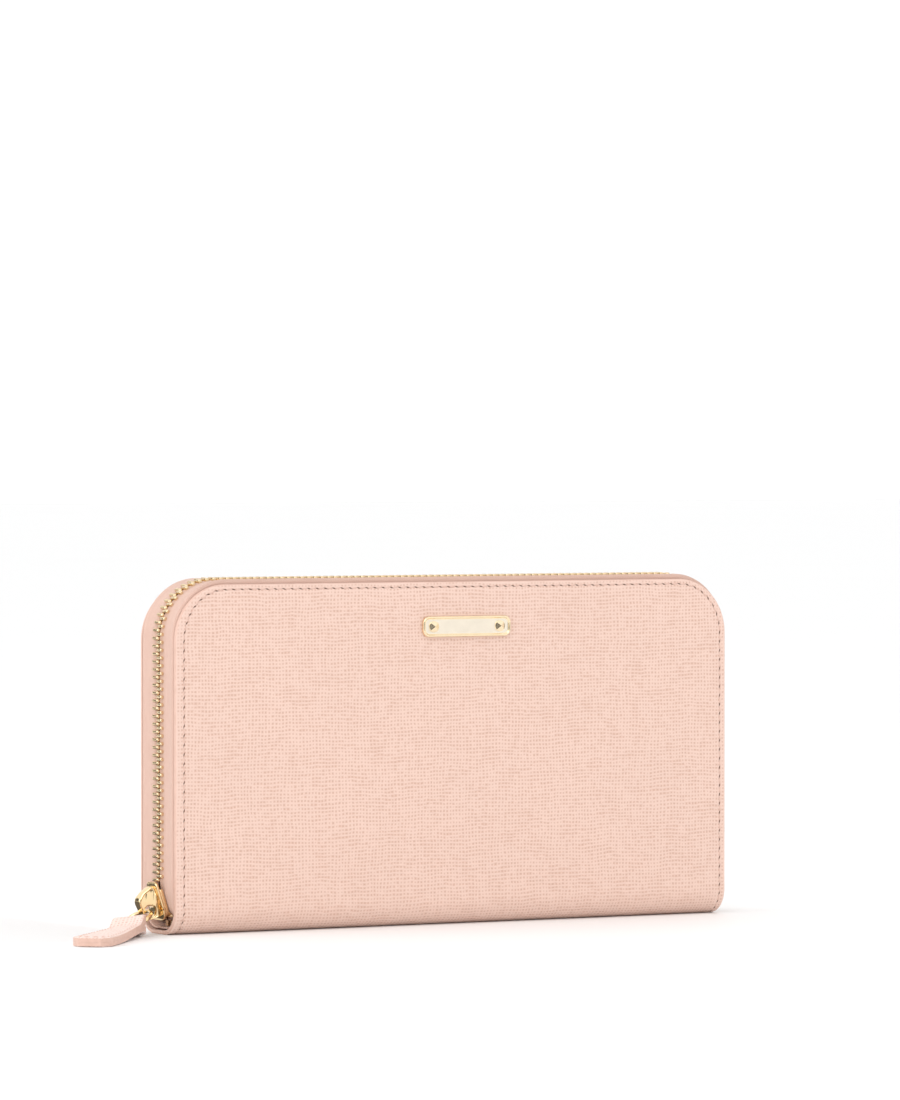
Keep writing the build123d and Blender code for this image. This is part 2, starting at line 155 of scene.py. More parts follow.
def add(tree, kind, **settings):
    """New shader node with its settings."""
    made = tree.nodes.new("ShaderNode" + kind)
    for key, value in settings.items():
        setattr(made, key, value)
    return made


def feed(tree, socket, value):
    """Link a socket to another, or set its number or colour."""
    if isinstance(value, bpy.types.NodeSocket):
        tree.links.new(value, socket)
    elif isinstance(value, tuple) and socket.type == "RGBA":
        socket.default_value = (*value, 1.0)
    else:
        socket.default_value = value


def calc(tree, operation, *values):
    """Math node."""
    made = add(tree, "Math", operation=operation)
    for socket, value in zip(made.inputs, values):
        feed(tree, socket, value)
    return made.outputs[0]


def blend_colours(tree, factor, first, second):
    """Mix two colours."""
    made = add(tree, "Mix", data_type="RGBA")
    feed(tree, made.inputs["Factor"], factor)
    feed(tree, made.inputs[6], first)
    feed(tree, made.inputs[7], second)
    return made.outputs[2]


def darker(colour, share):
    """Colour with each part scaled."""
    return tuple(c * share for c in colour)


def ramp(tree, value, low, high, to_low=0.0, to_high=1.0):
    """Clamped remap of a value."""
    made = add(tree, "MapRange")
    for socket, number in zip(made.inputs, (value, low, high, to_low, to_high)):
        feed(tree, socket, number)
    return made.outputs[0]


def noise_of(tree, vector, scale, detail=2.0, roughness=0.5):
    """Noise value at a point."""
    made = add(tree, "TexNoise")
    feed(tree, made.inputs["Vector"], vector)
    made.inputs["Scale"].default_value = scale
    made.inputs["Detail"].default_value = detail
    made.inputs["Roughness"].default_value = roughness
    return made.outputs[0]


def surface_point(tree):
    """Laid-out place on a sheet, in millimetres: along, across and depth."""
    return add(tree, "Attribute", attribute_name="surface").outputs["Vector"]


def object_point(tree):
    """Place in the part's frame, in millimetres."""
    scale = add(tree, "VectorMath", operation="SCALE")
    tree.links.new(add(tree, "TexCoord").outputs["Object"], scale.inputs[0])
    scale.inputs["Scale"].default_value = 1 / MM
    return scale.outputs[0]


def split(tree, vector):
    """Three parts of a vector."""
    made = add(tree, "SeparateXYZ")
    tree.links.new(vector, made.inputs[0])
    return made.outputs


def wave(tree, value, pitch):
    """Cosine of a length, from 0 to 1."""
    turned = calc(tree, "COSINE", calc(tree, "MULTIPLY", value, 2 * math.pi / pitch))
    return calc(tree, "MULTIPLY_ADD", turned, 0.5, 0.5)


def wander(tree, point, scale, amount):
    """Slow sideways drift of a pattern, in millimetres."""
    return calc(tree, "MULTIPLY", calc(tree, "SUBTRACT", noise_of(tree, point, scale), 0.5), amount)


def drifting(tree, value, point, slow, quick):
    """A place along a pattern, moved by a slow and a quick drift, each a scale and an amount."""
    drift = calc(tree, "ADD", wander(tree, point, *slow), wander(tree, point, *quick))
    return calc(tree, "ADD", value, drift)


def bump(tree, height, distance, strength=1.0, under=None):
    """Bump from a height, with its real depth."""
    made = add(tree, "Bump")
    feed(tree, made.inputs["Height"], height)
    made.inputs["Distance"].default_value = distance * MM
    made.inputs["Strength"].default_value = strength
    if under is not None:
        tree.links.new(under, made.inputs["Normal"])
    return made.outputs[0]


def coat(tree, shader, colour, normal):
    """Feeds a shader its colour and its relief."""
    feed(tree, shader.inputs["Base Color"], colour)
    feed(tree, shader.inputs["Normal"], normal)


def start_material(name, roughness, metallic=0.0, specular=0.5, sheen=0.0):
    """New material with its constant values set on the shader's own sockets."""
    made = bpy.data.materials.new(name)
    made.use_nodes = True
    shader = made.node_tree.nodes["Principled BSDF"]
    shader.inputs["Roughness"].default_value = roughness
    shader.inputs["Metallic"].default_value = metallic
    shader.inputs["Specular IOR Level"].default_value = specular
    shader.inputs["Sheen Weight"].default_value = sheen
    return made, made.node_tree, shader


# ---------------------------------------------------------------- materials

def embossed_calf(name, raised_colour, pit_shade_colour):
    """Calf pressed with a fine, wandering cross-hatch: raised threads and small pits, with painted shade in
    the pits and in the stitch holes.
    """
    made, tree, shader = start_material(name, 0.46, specular=0.42, sheen=0.06)
    point = surface_point(tree)
    x, s, pressed = split(tree, point)
    x = drifting(tree, x, point, (0.035, 3.0), (0.25, 0.9))
    s = drifting(tree, s, point, (0.05, 2.2), (0.35, 0.7))
    cell = add(tree, "CombineXYZ")
    feed(tree, cell.inputs[0], calc(tree, "ROUND", calc(tree, "DIVIDE", x, GRAIN_X)))
    feed(tree, cell.inputs[1], calc(tree, "ROUND", calc(tree, "DIVIDE", s, GRAIN_S)))
    chance = add(tree, "TexWhiteNoise", noise_dimensions="2D")
    feed(tree, chance.inputs["Vector"], cell.outputs[0])
    upright = wave(tree, calc(tree, "ADD", x, GRAIN_X / 2), GRAIN_X)
    level = wave(tree, calc(tree, "ADD", s, GRAIN_S / 2), GRAIN_S)
    thin = ramp(tree, noise_of(tree, point, 0.16), 0.36, 0.62, 0.6, 1.0)
    worn = ramp(tree, noise_of(tree, point, 0.23, 1.0), 0.36, 0.6, 1.0, 0.85)
    height = calc(tree, "MAXIMUM", calc(tree, "MULTIPLY", upright, thin), calc(tree, "MULTIPLY", level, worn))
    filled = calc(tree, "MULTIPLY", calc(tree, "POWER", chance.outputs["Value"], 2.0), 0.32)
    height = calc(tree, "ADD", calc(tree, "ADD", height, filled), calc(tree, "MULTIPLY", pressed, 0.2))
    raised = ramp(tree, height, 0.08, 0.85)
    tone = ramp(tree, noise_of(tree, point, 0.03, 3.0), 0.3, 0.7, 0.0, 1.0)
    ridge = blend_colours(tree, tone, raised_colour, darker(raised_colour, 0.98))
    # Low parts of the grain take the pit colour: painted shade in the pits
    colour = blend_colours(tree, raised, pit_shade_colour, ridge)
    # hole attribute: painted shade of the stitch holes
    hole = ramp(tree, add(tree, "Attribute", attribute_name="hole").outputs["Fac"], 0.35, 0.7)
    colour = blend_colours(tree, hole, colour, STITCH_HOLE_SHADE)
    feed(tree, shader.inputs["Roughness"], ramp(tree, raised, 0.0, 1.0, 0.62, 0.43))
    skin = bump(tree, noise_of(tree, point, 3.1, 3.0), 0.03, 0.5)
    coat(tree, shader, colour, bump(tree, raised, 0.1, 0.7, skin))
    return made


def edge_paint():
    """Painted cut edge: smooth, a little uneven."""
    made, tree, shader = start_material("edge_paint", 0.5, specular=0.4)
    point = object_point(tree)
    tone = ramp(tree, noise_of(tree, point, 0.5, 3.0), 0.3, 0.7)
    colour = blend_colours(tree, tone, EDGE_PAINT, EDGE_PAINT_WORN)
    coat(tree, shader, colour, bump(tree, noise_of(tree, point, 1.4, 2.0), 0.05, 0.4))
    return made


def smooth_leather(name, colour):
    """Plain grained leather with fine creases."""
    made, tree, shader = start_material(name, 0.5, specular=0.4, sheen=0.05)
    point = object_point(tree)
    cells = add(tree, "TexVoronoi", feature="DISTANCE_TO_EDGE")
    feed(tree, cells.inputs["Vector"], point)
    cells.inputs["Scale"].default_value = 1.5
    crease = ramp(tree, cells.outputs["Distance"], 0.0, 0.16)
    tone = ramp(tree, noise_of(tree, point, 0.08, 3.0), 0.3, 0.7)
    body = blend_colours(tree, tone, colour, darker(colour, 0.93))
    # Darker in the creases: painted shade
    coat(tree, shader, blend_colours(tree, crease, darker(colour, 0.84), body), bump(tree, crease, 0.06, 0.5))
    return made


def woven_tape(name, laid_out=True):
    """Herringbone tape: slanting yarns that turn back at each rib."""
    made, tree, shader = start_material(name, 0.78, specular=0.25, sheen=0.15)
    if laid_out:
        along, across, _ = split(tree, surface_point(tree))
    else:
        along, y, z = split(tree, object_point(tree))
        across = calc(tree, "ADD", y, z)
    in_rib = calc(tree, "MODULO", calc(tree, "ADD", across, 40 * TAPE_RIB), TAPE_RIB)
    fold = calc(tree, "ABSOLUTE", calc(tree, "SUBTRACT", in_rib, TAPE_RIB / 2))
    yarns = wave(tree, calc(tree, "ADD", along, calc(tree, "MULTIPLY", fold, 1.5)), 0.62)
    spine = ramp(tree, fold, 0.0, 0.12)
    height = calc(tree, "MULTIPLY", yarns, calc(tree, "MULTIPLY_ADD", spine, 0.5, 0.5))
    # Dips between the yarns take the darker colour: painted shade
    colour = blend_colours(tree, height, TAPE_SHADE_AND_STREAK, TAPE_PINK)
    drawn = add(tree, "CombineXYZ")
    feed(tree, drawn.inputs[0], calc(tree, "MULTIPLY", along, 0.1))
    feed(tree, drawn.inputs[1], across)
    streak = ramp(tree, noise_of(tree, drawn.outputs[0], 1.1, 3.0, 0.6), 0.35, 0.65, 0.0, 0.3)
    # Random darker streaks along the tape: the yarns' own tone
    colour = blend_colours(tree, streak, colour, TAPE_SHADE_AND_STREAK)
    if laid_out:
        # Warmer, darker band beside the teeth: painted shadow and painted gold reflection
        shadow_by_teeth = ramp(tree, across, 1.6, 4.2, 0.55, 0.0)
        colour = blend_colours(tree, shadow_by_teeth, colour, TEETH_SHADOW_AND_REFLECTION)
    coat(tree, shader, colour, bump(tree, height, 0.12, 0.7))
    return made


def twisted_thread():
    """Waxed thread: plies that wind round it."""
    made, tree, shader = start_material("twisted_thread", 0.5, specular=0.4, sheen=0.1)
    along, around, _ = split(tree, surface_point(tree))
    plies = wave(tree, calc(tree, "ADD", along, calc(tree, "MULTIPLY", around, 0.45)), 0.45)
    # Darker between the plies: painted shade in the twists
    colour = blend_colours(tree, plies, darker(THREAD, 0.88), THREAD)
    coat(tree, shader, colour, bump(tree, plies, 0.05, 0.6))
    return made


def polished_metal(name, colour, roughness, lines=0.0):
    """Plated metal with faint wear, brushed along its length when lines is set."""
    made, tree, shader = start_material(name, roughness, metallic=1.0)
    point = object_point(tree)
    stretched = add(tree, "VectorMath", operation="MULTIPLY")
    tree.links.new(point, stretched.inputs[0])
    stretched.inputs[1].default_value = (0.15, 1.0, 4.0) if lines else (1.0, 1.0, 1.0)
    grain = noise_of(tree, stretched.outputs[0], 2.5, 4.0, 0.6)
    smudge = noise_of(tree, point, 0.35, 2.0)
    tint = blend_colours(tree, ramp(tree, smudge, 0.3, 0.7), colour, darker(colour, 0.94))
    feed(tree, shader.inputs["Roughness"], ramp(tree, grain, 0.3, 0.7, roughness * 0.8, roughness * 1.25))
    coat(tree, shader, tint, bump(tree, grain, 0.004 + lines, 0.35))
    return made


def pressed_board():
    """Grey fibre board."""
    made, tree, shader = start_material("pressed_board", 0.9, specular=0.2)
    point = object_point(tree)
    fibres = noise_of(tree, point, 1.2, 5.0, 0.7)
    colour = blend_colours(tree, ramp(tree, fibres, 0.3, 0.7), BOARD_GREY, BOARD_FIBRE)
    coat(tree, shader, colour, bump(tree, fibres, 0.08, 0.5))
    return made


def pocket_cloth():
    """Fine plain weave of the pocket lining."""
    made, tree, shader = start_material("pocket_cloth", 0.85, specular=0.2, sheen=0.2)
    x, y, z = split(tree, object_point(tree))
    warp = wave(tree, calc(tree, "ADD", x, y), 0.5)
    weft = wave(tree, z, 0.5)
    height = calc(tree, "MAXIMUM", warp, weft)
    # Darker where the threads dip: painted shade between them
    colour = blend_colours(tree, height, darker(LINING_TAN, 0.7), LINING_TAN)
    coat(tree, shader, colour, bump(tree, height, 0.06, 0.6))
    return made


CALF = embossed_calf("embossed_calf", CALF_RIDGE, CALF_PIT_SHADE)
PAINT = edge_paint()
LINING_LEATHER = smooth_leather("lining_leather", LINING_TAN)
PULL_CALF = embossed_calf("pull_calf", PULL_RIDGE, PULL_PIT_SHADE)
CARD_LEATHER = smooth_leather("card_leather", CARD_TAN)
TAPE_CLOTH = woven_tape("woven_tape")
PLAIN_TAPE = woven_tape("plain_tape", laid_out=False)
STITCH_THREAD = twisted_thread()
TOOTH_GOLD = polished_metal("tooth_gold", TOOTH_BRASS, 0.24)
BRIGHT_GOLD = polished_metal("bright_gold", GOLD, 0.1)
RIM_GOLD = polished_metal("rim_gold", PALE_GOLD, 0.12)
SATIN_GOLD = polished_metal("satin_gold", SATIN_BRASS, 0.36, lines=0.003)
BOARD_STOCK = pressed_board()
POCKET_WEAVE = pocket_cloth()


# ---------------------------------------------------------------- mesh helpers

class Shape:
    """Vertices, faces and their laid-out places, gathered before one mesh is made."""

    def __init__(self):
        self.points = []
        self.surface = []
        self.holes = []
        self.faces = []
        self.slots = []

    def point(self, place, surface=(0, 0, 0), hole=0.0):
        """Adds a vertex and gives its number."""
        self.points.append(Vector(place))
        self.surface.append(surface)
        self.holes.append(hole)
        return len(self.points) - 1

    def face(self, numbers, slot=0):
        """Adds a face."""
        self.faces.append(tuple(numbers))
        self.slots.append(slot)

    def bridge(self, first, second, slot=0, closed=True):
        """Quads between two rows of vertices of the same count."""
        count = len(first)
        for k in range(count if closed else count - 1):
            n = (k + 1) % count
            self.face((first[k], first[n], second[n], second[k]), slot)

    def close_round(self, rows):
        """Quads between rows of vertices that run round to the first again."""
        for first, second in zip(rows, rows[1:] + rows[:1]):
            self.bridge(first, second)

    def loft(self, rows, slot=0, closed=True, caps=True):
        """Skin over rows of points, with its two ends closed."""
        numbered = []
        for row in rows:
            numbered.append([self.point(*p) if isinstance(p, tuple) else self.point(p) for p in row])
        for low, high in zip(numbered, numbered[1:]):
            self.bridge(low, high, slot, closed)
        if caps:
            self.face(reversed(numbered[0]), slot)
            self.face(numbered[-1], slot)
        return numbered

    def build(self, name, materials, smooth=True, matrix=None):
        """Makes the object."""
        mesh = bpy.data.meshes.new(name)
        points = [matrix @ p for p in self.points] if matrix else self.points
        mesh.from_pydata([p * MM for p in points], [], self.faces)
        mesh.polygons.foreach_set("material_index", self.slots)
        mesh.polygons.foreach_set("use_smooth", [smooth] * len(self.faces))
        layout = mesh.attributes.new("surface", "FLOAT_VECTOR", "POINT")
        layout.data.foreach_set("vector", [c for p in self.surface for c in p])
        # The hole attribute carries the painted shade of the stitch holes
        holes = mesh.attributes.new("hole", "FLOAT", "POINT")
        holes.data.foreach_set("value", self.holes)
        for material in materials:
            mesh.materials.append(material)
        mesh.update()
        return placed(name, mesh)


def smooth_but_sharp(made, degrees=35):
    """Shades smoothly except across edges sharper than an angle."""
    limit = math.radians(degrees)
    mesh = made.data
    normals = [p.normal.copy() for p in mesh.polygons]
    by_edge = {}
    for polygon in mesh.polygons:
        for key in polygon.edge_keys:
            by_edge.setdefault(key, []).append(polygon.index)
    for edge in mesh.edges:
        sides = by_edge.get(tuple(sorted(edge.vertices)), [])
        if len(sides) == 2:
            first, second = (normals[n] for n in sides)
            edge.use_edge_sharp = first.length > 0 and second.length > 0 and first.angle(second) > limit
    return made


def finish_piece(made, body, slot, *nodes):
    """Rides a piece on its body and hides the CAD nodes that it stands for; its slot, the finish, is not
    used.
    """
    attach(made, body)
    if nodes:
        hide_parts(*nodes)
    return made


def bend_piece(made, side, slot, *nodes):
    """Bakes a piece's place into its mesh and hides the CAD nodes that it stands for."""
    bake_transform(made)
    if nodes:
        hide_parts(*nodes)
    return made


def eased(t):
    """Smooth step from 0 to 1."""
    t = max(0.0, min(1.0, t))
    return t * t * (3 - 2 * t)


def wrap(x, s, depth, side):
    """Place of a laid-out point: depth goes in from the hide's outer face."""
    if s < FLAT:
        y, z = s, depth
    elif s < FLAT + ARC:
        angle = (s - FLAT) / BEND_R
        y = FLAT + (BEND_R - depth) * math.sin(angle)
        z = BEND_R - (BEND_R - depth) * math.cos(angle)
    else:
        y, z = OUTER_Y - depth, BEND_R + s - FLAT - ARC
    return Vector((x, side * y, z))


def unwrapped(z):
    """Laid-out height of a level on the upright stretch of a cover."""
    return z - BEND_R + FLAT + ARC


def outline(half_w, low, top, radius, step, inset=0.0, group=1):
    """Frames (x, s, out_x, out_s) along a sheet's edge: up the left side, over the top, down the right."""
    def count(length):
        return group * max(1, round(length / step / group))

    side = count(top - radius - low)
    arc = count((radius - inset) * math.pi / 2)
    across = count(2 * (half_w - radius))
    left = [(-half_w, low + (top - radius - low) * k / side, -1.0, 0.0) for k in range(side)]
    turn = []
    for k in range(arc):
        angle = math.pi / 2 * k / arc
        out = (-math.cos(angle), math.sin(angle))
        turn.append((-half_w + radius + radius * out[0], top - radius + radius * out[1], *out))
    width = 2 * (half_w - radius)
    over = [(-half_w + radius + width * k / across, top, 0.0, 1.0) for k in range(across // 2)]
    middle = [(0.0, top, 0.0, 1.0)]
    half = left + turn + over
    mirrored = [(-x, s, -out_x, out_s) for x, s, out_x, out_s in reversed(half)]
    return half + middle + mirrored, side + arc, across


def stitch_inset(out_x, out_s):
    """Distance of the stitching from the edge, by the edge's heading."""
    side = STITCH_INSET_LEFT if out_x < 0 else STITCH_INSET_RIGHT
    return side * out_x ** 2 + STITCH_INSET_TOP * out_s ** 2


MIDDLE_INSET = 99.0


def sheet_plan(frames, corner, across, insets_at, skip, dense):
    """Laid-out points (x, s, inset, column) and faces of a sheet: a fine border and a coarse middle.
    The middle joins every skip-th column of the border, and all of them where dense(s) holds."""
    points = []
    rows = len(insets_at(*frames[0]))
    for column, (x, s, out_x, out_s) in enumerate(frames):
        for inset in insets_at(x, s, out_x, out_s):
            points.append((x - out_x * inset, s - out_s * inset, inset, column))
    faces = []
    last = len(frames) - 1
    for column in range(last):
        a, b = column * rows, (column + 1) * rows
        for m in range(rows - 1):
            faces.append((a + m, a + m + 1, b + m + 1, b + m))

    def inner(column):
        return column * rows + rows - 1

    kept = [k for k in range(corner) if k % skip == 0 or dense(frames[k][1])] + [corner]
    cells = across // skip
    levels = []
    for k in kept[:-1]:
        left, right = points[inner(k)], points[inner(last - k)]
        row = [inner(k)]
        for j in range(1, cells):
            t = j / cells
            x = left[0] + (right[0] - left[0]) * t
            points.append((x, left[1], MIDDLE_INSET, -1))
            row.append(len(points) - 1)
        levels.append(row + [inner(last - k)])
    levels.append([inner(corner + j * skip) for j in range(cells + 1)])
    for r in range(len(kept) - 1):
        low, high = levels[r], levels[r + 1]
        for j in range(cells):
            ring = [low[j], low[j + 1]]
            if j == cells - 1:
                ring += [inner(last - k) for k in range(kept[r] + 1, kept[r + 1])]
            ring.append(high[j + 1])
            if r == len(kept) - 2:
                ring += [inner(corner + k) for k in range((j + 1) * skip - 1, j * skip, -1)]
            ring.append(high[j])
            if j == 0:
                ring += [inner(k) for k in range(kept[r + 1] - 1, kept[r], -1)]
            faces.append(tuple(ring))
    return points, faces


PRESSED_BORDER = 3.4
PAINTED_BORDER = 0.3


# hole gives each front vertex the painted shade of a stitch hole
def thick_sheet(points, faces, place, outer, inner, flip, hole=lambda inset, column: 0.0):
    """Closed solid from a laid-out sheet and the depth of its faces. Slot 1 is its edge, slot 2 its back."""
    shape = Shape()
    count = len(points)
    for x, s, inset, column in points:
        pressed = max(0.0, 1.0 - inset / PRESSED_BORDER)
        shape.point(place(x, s, outer(x, s, inset, column)), (x, s, pressed), hole(inset, column))
    for x, s, inset, column in points:
        shape.point(place(x, s, inner(x, s, inset, column)), (x, s, 1))
    used = set()
    for numbers in faces:
        used.update(zip(numbers, numbers[1:] + numbers[:1]))
        painted = max(points[n][2] for n in numbers) < PAINTED_BORDER
        back = [n + count for n in reversed(numbers)]
        shape.face(reversed(numbers) if flip else numbers, 1 if painted else 0)
        shape.face(reversed(back) if flip else back, 2)
    for a, b in used:
        if (b, a) not in used:
            ring = (b, a, a + count, b + count)
            shape.face(reversed(ring) if flip else ring, 1)
    return shape


def tube(shape, path, normals, radius, sides=6, slot=0):
    """Round tube along a path, with its ends closed."""
    rows = []
    travelled = 0.0
    for k, place in enumerate(path):
        ahead = path[min(k + 1, len(path) - 1)] - path[max(k - 1, 0)]
        along = ahead.normalized()
        up = (normals[k] - along * normals[k].dot(along)).normalized()
        across = along.cross(up)
        travelled += (place - path[k - 1]).length if k else 0.0
        end = 0.6 if k in (0, len(path) - 1) else 1.0
        row = []
        for n in range(sides):
            angle = 2 * math.pi * n / sides
            out = up * math.cos(angle) + across * math.sin(angle)
            row.append((place + out * radius * end, (travelled, angle * 0.3, 0)))
        rows.append(row)
    shape.loft(rows, slot)


def stitches(shape, holes, place, radius=THREAD_R, depth=0.3, slant=0.1, gap=0.42):
    """A running row of thread: each stitch dives into the holes at its two ends."""
    rise = -0.5 * radius
    profile = ((0.0, depth), (0.14, 0.02), (0.34, rise), (0.66, rise), (0.86, 0.02), (1.0, depth))
    for (x0, s0), (x1, s1) in zip(holes, holes[1:]):
        length = math.hypot(x1 - x0, s1 - s0)
        side_x, side_s = -(s1 - s0) / length, (x1 - x0) / length
        margin = gap / length
        path, normals = [], []
        for t, down in profile:
            u = margin + (1 - 2 * margin) * t
            lean = slant * (2 * t - 1)
            x = x0 + (x1 - x0) * u + side_x * lean
            s = s0 + (s1 - s0) * u + side_s * lean
            path.append(place(x, s, down))
            normals.append(place(x, s, down - 1) - place(x, s, down))
        tube(shape, path, normals, radius)


# ---------------------------------------------------------------- covers

# Rows of the stitch line's groove, from its middle
GROOVE_STEPS = (-0.5, -0.2, 0.0, 0.2, 0.5)
# Darkness of a slanting stitch hole, by step along the edge and row across it
HOLE_SHADE = {
    -1: {-1: 0.6, 0: 0.1, 1: 0.0},
    0: {-1: 0.55, 0: 1.0, 1: 0.55},
    1: {-1: 0.0, 0: 0.1, 1: 0.6},
}


def at_bend(s):
    """Whether a laid-out height is in the bend beside the spine."""
    return FLAT - 1 < s < FLAT + ARC + 1


def hide(side):
    """Half of the outer hide: spine, bend and cover in one sheet, edge rounded and stitch line pressed in."""
    step = STITCH_PITCH / STEPS_PER_STITCH
    top = unwrapped(TOP)
    frames, corner, across = outline(HALF_W, 0.0, top, CORNER_R, step, STITCH_INSET_TOP, STEPS_PER_STITCH)

    def insets_at(x, s, out_x, out_s):
        line = stitch_inset(out_x, out_s)
        return [0.0, 0.1, 0.25, 0.5, 0.8] + [line + step for step in GROOVE_STEPS] + [4.2, 5.5]

    sew_row = 7
    grooves = {6: 0.05, 7: 0.08, 8: 0.05}
    first_hole = STEPS_PER_STITCH
    places = [insets_at(*f) for f in frames]

    def row_of(inset, column):
        return min(range(len(places[column])), key=lambda m: abs(places[column][m] - inset))

    def is_hole(inset, column):
        return column >= first_hole and column % STEPS_PER_STITCH == 0 and row_of(inset, column) == sew_row

    # Painted shade of the stitch holes, for the hole attribute
    def darkness(inset, column):
        if column < first_hole - 1:
            return 0.0
        beside = (column + 1) % STEPS_PER_STITCH - 1
        beyond = row_of(inset, column) - sew_row
        return HOLE_SHADE.get(beside, {}).get(beyond, 0.0)

    def outer(x, s, inset, column):
        ripple = 0.05 * noise.noise(Vector((x * 0.05, s * 0.05, side * 3.0)))
        if column < 0:
            return ripple
        if inset < 0.6:
            return 0.42 * (1 - min(inset, 0.5) / 0.5) ** 2.5
        hole = 0.3 if is_hole(inset, column) else 0.0
        return grooves.get(row_of(inset, column), 0.0) + hole + ripple * 0.5

    def place(x, s, depth):
        return wrap(x, s, depth, side)

    points, faces = sheet_plan(frames, corner, across, insets_at, STEPS_PER_STITCH, at_bend)
    shape = thick_sheet(points, faces, place, outer, lambda *p: LEATHER - 0.02, side == BACK, darkness)
    nodes = ["outer_leather_" + COVERS[side]] + (["outer_leather_spine"] if side == FRONT else [])
    bend_piece(shape.build("hide_" + COVERS[side], [CALF, PAINT, LINING_LEATHER]), side, "hide", *nodes)
    holes = []
    for column in range(first_hole, len(frames) - first_hole + 1, STEPS_PER_STITCH):
        x, s, out_x, out_s = frames[column]
        line = stitch_inset(out_x, out_s)
        holes.append((x - out_x * line, s - out_s * line))
    seam = Shape()
    stitches(seam, holes, lambda x, s, depth: place(x, s, depth + 0.1))
    bend_piece(seam.build("cover_stitching_" + COVERS[side], [STITCH_THREAD]), side, "hide")


def lining(side):
    """Half of the leather lining, inside the same bend."""
    top = unwrapped(LINING_HIGH.z)
    frames, corner, across = outline(LINING_HIGH.x, 0.0, top, CORNER_R - 0.5, 2.0, 0.0, 2)
    points, faces = sheet_plan(frames, corner, across, lambda *f: [0.0, 0.3, 1.5], 2, at_bend)

    def place(x, s, depth):
        return wrap(x, s, depth, side)

    shape = thick_sheet(points, faces, place, lambda *p: LINING_DEPTH + 0.02,
                        lambda x, s, inset, column: LINING_DEPTH + LINING - (0.15 if inset < 0.2 else 0.0),
                        side == BACK)
    nodes = ["lining_" + COVERS[side]] + (["lining_spine"] if side == FRONT else [])
    made = shape.build("lining_skin_" + COVERS[side], [LINING_LEATHER, PAINT, LINING_LEATHER])
    bend_piece(made, side, "lining", *nodes)


# ---------------------------------------------------------------- main zip

# Section of a tape, from its sewn flange to its corded edge: distance from the middle line, inset
TAPE_SECTION = [
    (9.92, 7.4), (9.9, 3.0), (9.88, 0.6), (9.75, -0.15), (9.3, -0.42), (8.6, -0.36), (7.4, -0.16),
    (6.0, 0.02), (4.6, 0.1), (3.2, 0.12), (2.2, 0.14), (1.6, 0.05), (1.2, -0.05), (0.8, 0.02), (0.6, 0.25),
]


def zip_tape(side):
    """Woven tape of one cover: a sewn flange, a rounded shoulder, a flat strip and a corded edge."""
    frames, _, _ = outline(TAPE_HALF_W, 4.0, TAPE_TOP, TAPE_CORNER_R, 1.2)
    shape = Shape()
    outer_rows, inner_rows = [], []
    travelled = 0.0
    for k, (x, s, out_x, out_s) in enumerate(frames):
        if k:
            travelled += math.hypot(x - frames[k - 1][0], s - frames[k - 1][1])
        at_slider = out_x < -0.9
        tuck = max(0.0, (8.0 if at_slider else 12.5) - s) if abs(out_x) > 0.9 else 0.0
        sink = (0.32 if at_slider else 0.1) * tuck ** 1.6
        lean = SLIDER_LEAN * max(0.0, 12.0 - s) if at_slider else 0.0
        aside = eased((15.5 - s) / 8.0) if at_slider else 0.25 * eased((10.0 - s) / 6.0)
        outer, inner = [], []
        for m, (y, inset) in enumerate(TAPE_SECTION):
            inward = (y - 0.9) / 9.02
            reach = y + 2.7 * aside * (1 - inward) ** 1.5
            down = inset + (sink + lean) * (1 - 0.75 * inward ** 2)
            here = Vector((x - out_x * down, side * reach, s - out_s * down))
            across = y + max(0.0, inset)
            outer.append(shape.point(here, (travelled, across, 0)))
            under = down + (TAPE if 0 < m < len(TAPE_SECTION) - 1 else 0.1)
            flange = max(0.0, (y - 9.0) / 0.92)
            there = Vector((x - out_x * under, side * (reach - TAPE * 0.9 * flange), s - out_s * under))
            inner.append(shape.point(there, (travelled, across, 1)))
        outer_rows.append(outer)
        inner_rows.append(inner)
    for rows, flip in ((outer_rows, side == FRONT), (inner_rows, side == BACK)):
        for first, second in zip(rows, rows[1:]):
            pair = (second, first) if flip else (first, second)
            shape.bridge(*pair, closed=False)
    for row in (0, -1):
        ring = outer_rows[row] + inner_rows[row][::-1]
        shape.face(ring if (side == BACK) == (row == 0) else ring[::-1])
    for m in (0, -1):
        outer_line = [row[m] for row in outer_rows]
        inner_line = [row[m] for row in inner_rows]
        pair = (outer_line, inner_line) if (side == BACK) == (m == 0) else (inner_line, outer_line)
        shape.bridge(*pair, closed=False)
    name = "zip_tape_" + COVERS[side]
    made = shape.build(name + "_woven", [TAPE_CLOTH])
    finish_piece(made, COVERS[side] + "_cover", "zip_tape", name)


def chain_frames():
    """Places of the teeth's line: point, direction along it and direction out of the wallet."""
    half_w = TAPE_HALF_W - TAPE / 2
    top = TAPE_TOP - TAPE / 2
    radius = TAPE_CORNER_R - TAPE / 2
    corner_x = half_w - radius
    corner_z = top - radius
    sides = corner_z - CHAIN_LEFT_END
    arc = radius * math.pi / 2
    total = 2 * corner_z - CHAIN_LEFT_END - CHAIN_RIGHT_END + 2 * arc + 2 * corner_x

    def place(distance):
        if distance < sides:
            return Vector((-half_w, 0, CHAIN_LEFT_END + distance)), math.pi / 2
        distance -= sides
        if distance < arc:
            turn = distance / radius
            out = Vector((-math.cos(turn), 0, math.sin(turn)))
            return Vector((-corner_x, 0, corner_z)) + out * radius, math.pi / 2 - turn
        distance -= arc
        if distance < 2 * corner_x:
            return Vector((distance - corner_x, 0, top)), 0.0
        distance -= 2 * corner_x
        if distance < arc:
            turn = distance / radius
            out = Vector((math.sin(turn), 0, math.cos(turn)))
            return Vector((corner_x, 0, corner_z)) + out * radius, -turn
        return Vector((half_w, 0, corner_z - distance + arc)), -math.pi / 2

    return place, total


